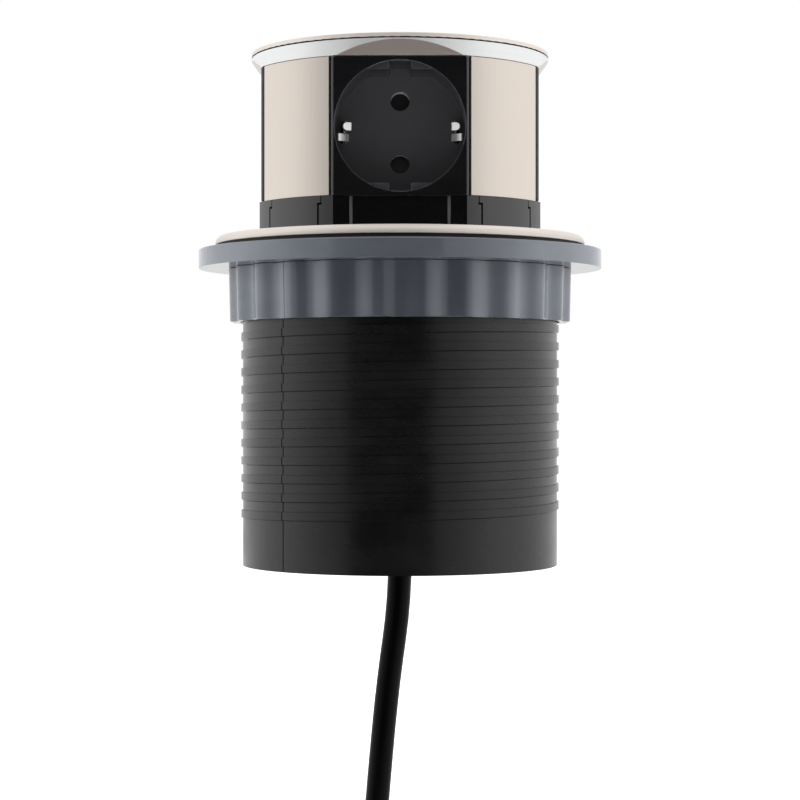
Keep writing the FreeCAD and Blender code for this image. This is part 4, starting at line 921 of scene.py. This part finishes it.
@dataclass
class Barrel:
    """The threaded barrel with its base, and the steel bezel on top of it."""

    crest: float = 49.75
    root: float = 49.2
    pitch: float = 5.5
    ridge: float = 2.65
    slope: float = 0.3
    last_line: float = -82.4
    run_out: float = -130.0
    hidden_turns: int = 2
    lead_in: float = 0.12
    fade_end: float = 2.9
    fade: float = 0.6
    steps: int = 120
    thread_top: float = -2.0
    band_top: float = -84.6
    foot: float = -98.4
    bore: float = 48.2
    ledge_bore: float = 44.3
    ledge_low: float = -95.4
    ledge_top: float = -92.4
    neck_bore: float = 47.5
    neck_low: float = -32.8
    rim_radius: float = 56.8
    rim_foot: float = 1.4
    rim_top: float = 3.0
    bezel_radius: float = 57.8
    bezel_top: float = 4.1
    bezel_sheet: float = 1.1
    bezel_round: tuple[float, float] = (2.1, 2.3)

    def thread(self) -> bmesh.types.BMesh:
        """Wind the thread's surface: ridges with a square upper edge and a slanted lower side.

        Returns:
            An open mesh that reaches below and above the thread.
        """
        lowest = self.last_line + self.pitch * (self.run_out / 360 - self.hidden_turns)
        turns = math.ceil((self.thread_top - lowest) / self.pitch) + 1
        section = [
            (self.root, 0.0),
            (self.crest, self.slope),
            (self.crest, self.ridge),
            (self.root, self.ridge + 0.05),
            (self.root, self.pitch),
        ]
        mesh = bmesh.new()
        corners = [mesh.verts.new((radius, 0.0, level)) for radius, level in section]
        lines = [mesh.edges.new(ends) for ends in zip(corners, corners[1:])]
        bmesh.ops.spin(
            mesh,
            geom=corners + lines,
            cent=CENTRE,
            axis=UP,
            dvec=(0, 0, self.pitch / self.steps),
            angle=FULL_TURN * turns,
            steps=turns * self.steps,
            use_merge=False,
        )
        bmesh.ops.remove_doubles(mesh, verts=mesh.verts, dist=DOUBLES)
        first = math.radians(-90 + self.run_out)
        bmesh.ops.rotate(mesh, verts=mesh.verts, cent=CENTRE, matrix=Matrix.Rotation(first, 3, "Z"))
        bmesh.ops.translate(mesh, verts=mesh.verts, vec=(0, 0, lowest))
        for corner in mesh.verts:
            angle = math.atan2(corner.co.y, corner.co.x) - first
            turned_by = angle % FULL_TURN / FULL_TURN
            wound = math.floor((corner.co.z - lowest) / self.pitch - turned_by + 1e-4) + turned_by
            begun = clamped((wound - self.hidden_turns) / self.lead_in)
            ended = clamped((self.thread_top - self.fade_end - corner.co.z) / self.fade)
            to_radius(corner, self.root + (corner.co.xy.length - self.root) * begun * ended)
        return mesh

    def wall(self) -> bmesh.types.BMesh:
        """Close the thread's surface with the plain band, the bores and the rim.

        Returns:
            A closed mesh in millimetres.
        """
        mesh = self.thread()
        for level, upward in ((self.band_top, -1), (self.thread_top, 1)):
            cut(mesh, UP * level, UP * upward, clear=True)
        loops = {level: [] for level in (self.band_top, self.thread_top)}
        for line in mesh.edges:
            for level, loop in loops.items():
                if line.is_boundary and all(abs(end.co.z - level) < DOUBLES for end in line.verts):
                    loop.append(line)
        path = [
            (self.root, self.foot),
            (self.bore, self.foot),
            (self.bore, self.ledge_low),
            (self.ledge_bore, self.ledge_low),
            (self.ledge_bore, self.ledge_top),
            (self.bore, self.ledge_top),
            (self.bore, self.neck_low),
            (self.neck_bore, self.neck_low),
            (self.neck_bore, self.rim_top),
            (self.rim_radius, self.rim_top),
            (self.rim_radius, self.rim_foot),
        ]
        outside = drawn_on(mesh, loops[self.band_top], path)
        inside = drawn_on(mesh, loops[self.thread_top], [(self.root, self.rim_foot)])
        bmesh.ops.triangle_fill(mesh, use_beauty=True, edges=outside + inside)
        bmesh.ops.recalc_face_normals(mesh, faces=mesh.faces)
        return mesh

    def bezel(self) -> bmesh.types.BMesh:
        """Turn the pressed steel ring, whose outer edge is well rounded.

        Returns:
            A closed mesh in millimetres.
        """
        outer, top, low = self.bezel_radius, self.bezel_top, self.rim_foot
        wide, high = self.bezel_round
        under = top - self.bezel_sheet
        arc = [
            (outer - wide + wide * math.cos(angle), top - high + high * math.sin(angle))
            for angle in (math.radians(10 * step) for step in range(10))
        ]
        inner = [(self.neck_bore, top), (self.neck_bore, under), (outer - wide, under)]
        return turned([(outer, low), *arc, *inner, (outer - self.bezel_sheet, low)], 192)

    def build(self) -> None:
        """Build the barrel and the bezel and dress what goes with them."""
        wall = self.wall()
        LOG.info("barrel_wall: %d open edges", sum(line.is_boundary for line in wall.edges))
        hand_over(wall, "barrel_wall", Finish.BODY_BLACK, "housing", "housing_barrel")
        steel = Finish.RING_STEEL
        hand_over(self.bezel(), "bezel", steel, "housing", "bezel_ring", Edges(0.15))
        dress(Finish.BODY_BLACK, "housing_base")
        dress(Finish.SCREW_STEEL, "base_screws")
        dress(Finish.GASKET, "seal_gasket")


@dataclass
class ClampingRing:
    """The pressure flange and the lobed ring nut under the worktop."""

    flange_radius: float = 63.0
    flange_low: float = -5.9
    flange_top: float = -0.1
    low_round: float = 0.15
    top_round: float = 0.3
    bore: float = 50.05
    crest_top: float = 53.7
    crest_foot: float = 53.3
    flute: float = 1.7
    lobes: int = 24
    per_lobe: int = 16
    nut_low: float = -22.6
    nut_top: float = -6.0

    def flange(self) -> bmesh.types.BMesh:
        """Turn the plain flange.

        Returns:
            A closed mesh in millimetres.
        """
        profile = [
            (self.bore, self.flange_low),
            (self.flange_radius - self.low_round, self.flange_low),
            (self.flange_radius, self.flange_low + self.low_round),
            (self.flange_radius, self.flange_top - self.top_round),
            (self.flange_radius - self.top_round, self.flange_top),
            (self.bore, self.flange_top),
        ]
        return turned(profile, 192)

    def nut(self) -> bmesh.types.BMesh:
        """Turn the nut and draw its side in between the lobes.

        Returns:
            A closed mesh in millimetres.
        """
        profile = [
            (self.bore, self.nut_low),
            (self.crest_foot - 0.3, self.nut_low),
            (self.crest_foot, self.nut_low + 0.3),
            (self.crest_top, self.nut_top - 0.05),
            (self.crest_top - 0.05, self.nut_top),
            (self.bore, self.nut_top),
        ]
        mesh = turned(profile, self.lobes * self.per_lobe)
        for corner in mesh.verts:
            radius = corner.co.xy.length
            if radius > self.bore + 1:
                angle = math.atan2(corner.co.y, corner.co.x) + math.pi / 2
                to_radius(corner, radius - self.flute * (1 + math.cos(self.lobes * angle)) / 2)
        return mesh

    def build(self) -> None:
        """Build the flange and the nut."""
        hand_over(self.flange(), "flange", Finish.RING_GREY, "flange", "pressure_flange")
        # The nut's darker grey is painted shade under the flange
        hand_over(self.nut(), "nut", Finish.NUT_GREY, "nut", "ring_nut")


@dataclass(frozen=True)
class Tine:
    """One springy tine of an earth clip's arm.

    Attributes:
        low: Level of its lower edge above the socket's middle.
        high: Level of its upper edge above the socket's middle.
        path: Its outer side as distance from the middle and depth behind the face.
        rounding: Radius of the corners of its free end.
        lean: How far its lower edge stands out in front of its upper one, per millimetre.
        wider: How much further from the middle the right-hand arm's tine is bent.
        sheet: How far its inner side lies from its outer one, sideways and forward.
    """

    low: float
    high: float
    path: Profile
    rounding: float = 0.0
    lean: float = 0.0
    wider: float = 0.0
    sheet: tuple[float, float] = (0.5, 0.2)

    def bend(self, side: int, middle: float, face: float) -> bmesh.types.BMesh:
        """Bend the tine as it stands at socket face 1.

        Args:
            side: 1 for the right-hand arm, -1 for the left-hand one.
            middle: Level of the socket's middle.
            face: How far the face lies from the turret's axis.

        Returns:
            A closed mesh in millimetres.
        """
        wider = self.wider if side > 0 else 0.0
        path = [self.path[0], *((across + wider, depth) for across, depth in self.path[1:])]
        inward, forward = self.sheet
        outer = [(side * across, depth - face) for across, depth in path]
        inner = [(side * (across - inward), depth - face - forward) for across, depth in path]
        mesh = bmesh.new()
        rails = [[mesh.verts.new((*place, middle + self.low)) for place in rail] for rail in (outer, inner)]
        strip = [mesh.faces.new(corners) for corners in zip(*rails, rails[1][1:], rails[0][1:])]
        raised = bmesh.ops.extrude_face_region(mesh, geom=strip)["geom"]
        raised = only(raised, bmesh.types.BMVert)
        bmesh.ops.translate(mesh, verts=raised, vec=UP * (self.high - self.low))
        if self.rounding:
            tip = outer[-1][1] + DOUBLES
            corners = [
                edge
                for edge in mesh.edges
                if all(end.co.y < tip for end in edge.verts) and edge.calc_length() < self.rounding
            ]
            bmesh.ops.bevel(
                mesh, geom=corners, offset=self.rounding, segments=6, affect="EDGES", profile=0.5
            )
        for corner in mesh.verts:
            corner.co.y -= (middle + self.high - corner.co.z) * self.lean
        bmesh.ops.recalc_face_normals(mesh, faces=mesh.faces)
        return mesh


@dataclass
class Turret:
    """The turret: steel cap and panels, four socket faces, the slotted collar and its inside."""

    cap_radius: float = 46.5
    plate_low: float = 59.85
    plate_top: float = 61.1
    pedestal: float = 45.9
    skirt_top: float = 59.5
    facet_start: float = 42.5
    facet_height: float = 4.3
    panel_radius: float = 46.4
    panel_wall: float = 1.2
    panel_span: float = 36.0
    panel_low: float = 13.65
    panel_top: float = 54.75
    face_level: float = 41.4
    face_advance: float = 0.95
    socket_middle: float = 34.2
    pin_distance: float = 9.5
    hole_half: float = 2.95
    hole_back: float = 21.9
    hole_mouth: float = 23.85
    hole_slope: float = 0.42
    niche_across: tuple[float, float] = (14.0, 15.1)
    niche_along: tuple[float, float] = (39.0, 41.2)
    tine_start: float = 14.2
    tines: tuple[Tine, ...] = (
        Tine(-0.05, 2.5, ((16.9, 14.6), (15.4, 13.2), (15.1, 12.4), (17.5, 11.2)), 1.1, 0.2, 0.9),
        Tine(
            -3.4, -1.1, ((16.9, 14.6), (15.9, 12.6), (16.0, 11.7), (16.9, 10.9), (17.9, 10.0), (18.9, 9.3))
        ),
    )

    def plate(self) -> bmesh.types.BMesh:
        """Turn the steel top plate on its narrower foot.

        Returns:
            A closed mesh in millimetres.
        """
        profile = [
            (0.0, self.skirt_top),
            (self.pedestal, self.skirt_top),
            (self.pedestal, self.plate_low),
            (self.cap_radius, self.plate_low),
            (self.cap_radius, self.plate_top),
            (0.0, self.plate_top),
        ]
        return turned(profile, 192)

    def panel(self, number: int) -> bmesh.types.BMesh:
        """Bend one steel panel between two socket faces.

        Args:
            number: The panel's number.

        Returns:
            A closed mesh in millimetres.
        """
        inner = self.panel_radius - self.panel_wall
        section = [
            (inner, self.panel_low),
            (self.panel_radius, self.panel_low),
            (self.panel_radius, self.panel_top),
            (inner, self.panel_top),
        ]
        return turned(section, 24, self.panel_span, 90 * number - 135 - self.panel_span / 2)

    @staticmethod
    def facet(mesh: bmesh.types.BMesh, outward: Vector) -> list[bmesh.types.BMFace]:
        """The skirt's slanted faces above the socket that looks outward."""
        return [face for face in mesh.faces if face.normal.z < -0.5 and face.normal.dot(outward) > 0.3]

    def skirt(self) -> bmesh.types.BMesh:
        """Copy the skirt and make its four facets start a little in front of the socket faces.

        Returns:
            A closed mesh in millimetres.
        """
        mesh = copied("cap_skirt")
        low = min(corner.co.z for corner in mesh.verts)
        steepness = self.facet_height / (self.cap_radius - self.facet_start)
        for number in FACES:
            outward = facing(number) @ FRONT
            facet = self.facet(mesh, outward)
            parts = {*facet, *(edge for face in facet for edge in face.edges)}
            parts |= {corner for face in facet for corner in face.verts}
            start = outward * self.facet_start
            bmesh.ops.bisect_plane(mesh, geom=list(parts), plane_co=start, plane_no=outward)
            for corner in {corner for face in self.facet(mesh, outward) for corner in face.verts}:
                beyond = max(corner.co.dot(outward) - self.facet_start, 0.0)
                corner.co.z = low + beyond * steepness
        bmesh.ops.remove_doubles(mesh, verts=mesh.verts, dist=0.005)
        return mesh

    def socket(self, number: int) -> bmesh.types.BMesh:
        """Copy a socket's face and cup, set its front out and slope its pin holes down to the back.

        Args:
            number: The socket's number.

        Returns:
            A closed mesh in millimetres.
        """
        mesh = copied(f"socket_face_{number}")
        outward = facing(number) @ FRONT
        for corner in mesh.verts:
            depth = corner.co.dot(outward)
            if depth > self.face_level - 2.0:
                corner.co += outward * self.face_advance
            if abs(depth - self.hole_back) < 0.05:
                side = 1 if corner.co.z > self.socket_middle else -1
                level = self.socket_middle + side * self.pin_distance
                if (corner.co - outward * self.hole_back - UP * level).length < self.hole_half + 0.05:
                    corner.co.z -= self.hole_slope
        return mesh

    def is_hole_wall(self, centre: Vector, normal: Vector) -> bool:
        """Whether a socket's face lies in a pin hole."""
        aside, depth = sorted((abs(centre.x), abs(centre.y)))
        return self.hole_back < depth < self.hole_mouth and aside < self.hole_half and abs(normal.z) > 0.2

    def is_niche_side(self, centre: Vector, normal: Vector) -> bool:
        """Whether a collar's face is the slanted side of one of its niches.

        Args:
            centre: The face's centre.
            normal: Its normal.

        Returns:
            Whether it is one.
        """
        slanted = abs(normal.z) < 0.05 and 0.3 < min(abs(normal.x), abs(normal.y)) < 0.95
        places = zip(sorted((abs(centre.x), abs(centre.y))), (self.niche_across, self.niche_along))
        return slanted and all(low < place < high for place, (low, high) in places)

    def clip(self, number: int) -> bmesh.types.BMesh:
        """Build an earth clip: the node's strip without its tips, and the shaped tines on it.

        Args:
            number: The socket's number.

        Returns:
            A closed mesh in millimetres.
        """
        mesh = copied(f"earth_clip_{number}")
        turn = facing(number)
        ends = cut(mesh, turn @ FRONT * (self.face_level - self.tine_start), turn @ FRONT, clear=True)
        bmesh.ops.holes_fill(mesh, edges=only(ends, bmesh.types.BMEdge))
        for side in (-1, 1):
            for tine in self.tines:
                bent = tine.bend(side, self.socket_middle, self.face_level)
                bmesh.ops.rotate(bent, verts=bent.verts, cent=CENTRE, matrix=turn)
                data = bpy.data.meshes.new("tine")
                bent.to_mesh(data)
                bent.free()
                mesh.from_mesh(data)
                bpy.data.meshes.remove(data)
        return mesh

    def build_cap(self) -> None:
        """Build the top plate and the skirt under it."""
        steel, edges = "brushed_steel", Edges(0.45, 3)
        plate = hand_over(self.plate(), "top_plate", Finish.TOP_STEEL, "turret", "cap_plate", edges)
        low = self.plate_low
        # Painted shade: the steel plate's foot and underside get black, darkening the gap line under the
        # plate
        touch_up(plate, Finish.INNER_BLACK, lambda centre, normal: centre.z < low + 0.01)
        touch_up(plate, Finish.RING_STEEL, lambda centre, normal: normal.xy.length > 0.5 and centre.z > low)
        plating, edges = "plated_skirt", Edges(0.12)
        skirt = hand_over(self.skirt(), "skirt", Finish.SKIRT_PLATE, "turret", "cap_skirt", edges)
        # Painted shade: the skirt's down-facing facets get a darker copy of its metal
        touch_up(skirt, Finish.FACET_STEEL, lambda centre, normal: -0.95 < normal.z < -0.5)

    def build_face(self, number: int) -> None:
        """Build one socket face with its earth clip and the panel beside it.

        Args:
            number: The socket's number.
        """
        hand_over(
            self.panel(number),
            f"panel_{number}",
            Finish.PANEL_STEEL,
            "turret",
            f"steel_panel_{number}",
            Edges(0.12),
        )
        socket = hand_over(
            self.socket(number),
            f"socket_{number}",
            Finish.SOCKET_BLACK,
            "turret",
            f"socket_face_{number}",
            Edges(0.12, 2, 60.0, painted_sheen=True),
        )
        # Painted highlight: the pin holes' walls get a near-white
        touch_up(socket, Finish.HOLE_RIM, self.is_hole_wall)
        hand_over(
            self.clip(number),
            f"clip_{number}",
            Finish.SPRING_STEEL,
            "turret",
            f"earth_clip_{number}",
            Edges(0.08, 2, 50.0),
        )
        dress(Finish.BRASS, f"contact_pair_{number}")
        dress(Finish.SHUTTER, f"shutter_{number}")

    def build(self) -> None:
        """Build the turret's outer pieces and dress its inside."""
        self.build_cap()
        black, node = "black_body", "turret_collar"
        collar = hand_over(copied(node), "collar", Finish.COLLAR_BLACK, "turret", node)
        # Painted highlight: the slanted sides of the collar's niches get a lighter grey
        touch_up(collar, Finish.EDGE_BLACK, self.is_niche_side)
        for number in FACES:
            self.build_face(number)
        dress(Finish.BRASS, "line_bus", "neutral_bus", "earth_bus")
        dress(Finish.INNER_BLACK, "turret_core", "turret_floor", "lead_clamp", "contact_carrier")
        dress(Finish.SCREW_STEEL, "turret_screws")


# Studio


@dataclass
class Studio:
    """White surroundings, soft lamps at the sides and above, and the camera.

    Attributes:
        distance: The camera's distance from the axis, in metres.
        eye_level: Its height, in metres.
        focal: Its focal length in millimetres.
        floor_level: Height of the floor, in metres.
        ambient: How much light the tent gives to matt surfaces.
        opening: How bright the tent's open front is in mirrors.
        lining: How bright the tent is beside the opening.
        side_level: How bright its sides are.
        pit: How bright it is straight below.
        opening_ends: Azimuths between which the opening ends, in degrees from the front.
        side_ends: Azimuths between which the sides reach their level.
        roof_ends: Heights between which the roof begins, in degrees.
        pit_ends: Heights between which the pit ends, as sines.
        skew: How much narrower the opening is on the left and on the right, in degrees.
        side_power: Power of each side lamp in watts.
        top_power: Power of the top lamp in watts.
    """

    distance: float = 0.705
    eye_level: float = -0.0469
    focal: float = 101.0
    floor_level: float = -0.225
    ambient: float = 0.17
    opening: float = 0.03
    lining: float = 0.46
    side_level: float = 1.05
    pit: float = 0.07
    opening_ends: tuple[float, float] = (33.0, 35.0)
    side_ends: tuple[float, float] = (41.0, 86.0)
    roof_ends: tuple[float, float] = (15.0, 31.0)
    pit_ends: tuple[float, float] = (-0.93, -0.75)
    skew: tuple[float, float] = (-4.0, 10.0)
    side_power: float = 42.0
    top_power: float = 8.0

    def camera(self) -> None:
        """Place the camera level, in front of socket face 1."""
        data = bpy.data.cameras.new("camera")
        data.lens = self.focal
        data.sensor_width = 36.0
        data.clip_start = 0.01
        data.clip_end = 50.0
        camera = added("camera", data)
        camera.location = (0.0, -self.distance, self.eye_level)
        camera.rotation_euler = (math.pi / 2, 0.0, 0.0)
        bpy.context.scene.camera = camera

    def lamp(self, name: str, place: Vector, size: float, power: float) -> None:
        """Hang a square soft lamp that faces the turret.

        Args:
            name: The lamp's name.
            place: Its place, in metres.
            size: Its side, in metres.
            power: Its power in watts.
        """
        data = bpy.data.lights.new(name, "AREA")
        data.shape = "SQUARE"
        data.size = size
        data.energy = power
        lamp = added(name, data)
        lamp.visible_glossy = False
        lamp.location = place
        lamp.rotation_euler = (place - Vector((0, 0, -0.03))).to_track_quat("Z", "Y").to_euler()

    def backdrop(self) -> None:
        """Surround the power strip with a white tent that is dark where its front opens."""
        world = bpy.data.worlds.new("white tent")
        world.use_nodes = True
        world.cycles.sampling_method = "NONE"
        nodes = Nodes(world.node_tree)
        path = nodes.node("ShaderNodeLightPath", {}).outputs
        parts = nodes.parts(nodes.node("ShaderNodeTexCoord", {}).outputs["Generated"])
        aside = nodes.sum("ABSOLUTE", parts["X"])
        ahead = nodes.sum("MULTIPLY", parts["Y"], -1.0)
        skew = nodes.ramp(parts["X"], -0.3, 0.3, *map(math.radians, self.skew))
        azimuth = nodes.sum("ADD", nodes.sum("ARCTAN2", aside, ahead), skew)
        height = nodes.sum("ABSOLUTE", nodes.sum("ARCSINE", parts["Z"]))
        opening = nodes.ramp(azimuth, *map(math.radians, self.opening_ends), self.opening, self.lining)
        sides = nodes.ramp(azimuth, *map(math.radians, self.side_ends), 0.0, self.side_level - self.lining)
        roof = nodes.ramp(height, *map(math.radians, self.roof_ends), 0.0, 1.0)
        tent = nodes.ramp(roof, 0.0, 1.0, nodes.sum("ADD", opening, sides), 1.0, "LINEAR")
        pit = nodes.ramp(parts["Z"], *self.pit_ends, self.pit, 1.0)
        seen = nodes.sum("MAXIMUM", path["Is Camera Ray"], path["Is Transmission Ray"])
        tent = nodes.sum("MULTIPLY", tent, pit)
        mirrored = nodes.ramp(path["Is Glossy Ray"], 0.0, 1.0, self.ambient, tent, "LINEAR")
        strength = nodes.ramp(seen, 0.0, 1.0, mirrored, 1.0, "LINEAR")
        background = nodes.tree.nodes["Background"]
        background.inputs["Color"].default_value = WHITE
        nodes.tree.links.new(strength, background.inputs["Strength"])
        bpy.context.scene.world = world

    def floor(self) -> None:
        """Lay a white floor that keeps the shadow of the power strip."""
        shader = Shader("studio floor")
        shader.set("Base Color", (0.86, 0.86, 0.86, 1.0))
        shader.set("Roughness", 0.8)
        shader.set("Specular IOR Level", 0.1)
        shader.set("Emission Color", WHITE)
        path = shader.node("ShaderNodeLightPath", {}).outputs
        seen = shader.sum("MAXIMUM", path["Is Camera Ray"], path["Is Glossy Ray"])
        seen = shader.sum("MAXIMUM", seen, path["Is Transmission Ray"])
        glow = shader.ramp(shader.length(shader.place()), 0.35, 0.6, 0.4, 1.0)
        shader.set("Emission Strength", shader.sum("MULTIPLY", seen, glow))
        mesh = bmesh.new()
        bmesh.ops.create_grid(mesh, x_segments=1, y_segments=1, size=6.0)
        bmesh.ops.translate(mesh, verts=mesh.verts, vec=(0, 0, self.floor_level))
        data = bpy.data.meshes.new("studio_floor")
        mesh.to_mesh(data)
        mesh.free()
        data.materials.append(shader.material)
        floor = added("studio_floor", data)
        floor.visible_glossy = False

    def build(self) -> None:
        """Build the surroundings, the lamps and the camera."""
        bpy.context.scene.view_settings.view_transform = "Standard"
        self.camera()
        self.backdrop()
        self.floor()
        self.lamp("left lamp", Vector((-1.2, 0.1, 0.05)), 1.2, self.side_power)
        self.lamp("right lamp", Vector((1.2, 0.1, 0.05)), 1.2, self.side_power)
        self.lamp("top lamp", Vector((0.0, -0.15, 1.3)), 1.0, self.top_power)
        LOG.info("studio: camera, world, floor and three lamps")


def main() -> None:
    """Load the frame and build every sub-assembly in order."""
    logging.basicConfig(level=logging.INFO, format="%(message)s")
    NODES.update(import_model()["nodes"])
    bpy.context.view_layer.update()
    for assembly in (Studio(), MainsCord(), Barrel(), ClampingRing(), Turret()):
        assembly.build()


if __name__ == "__main__":
    main()
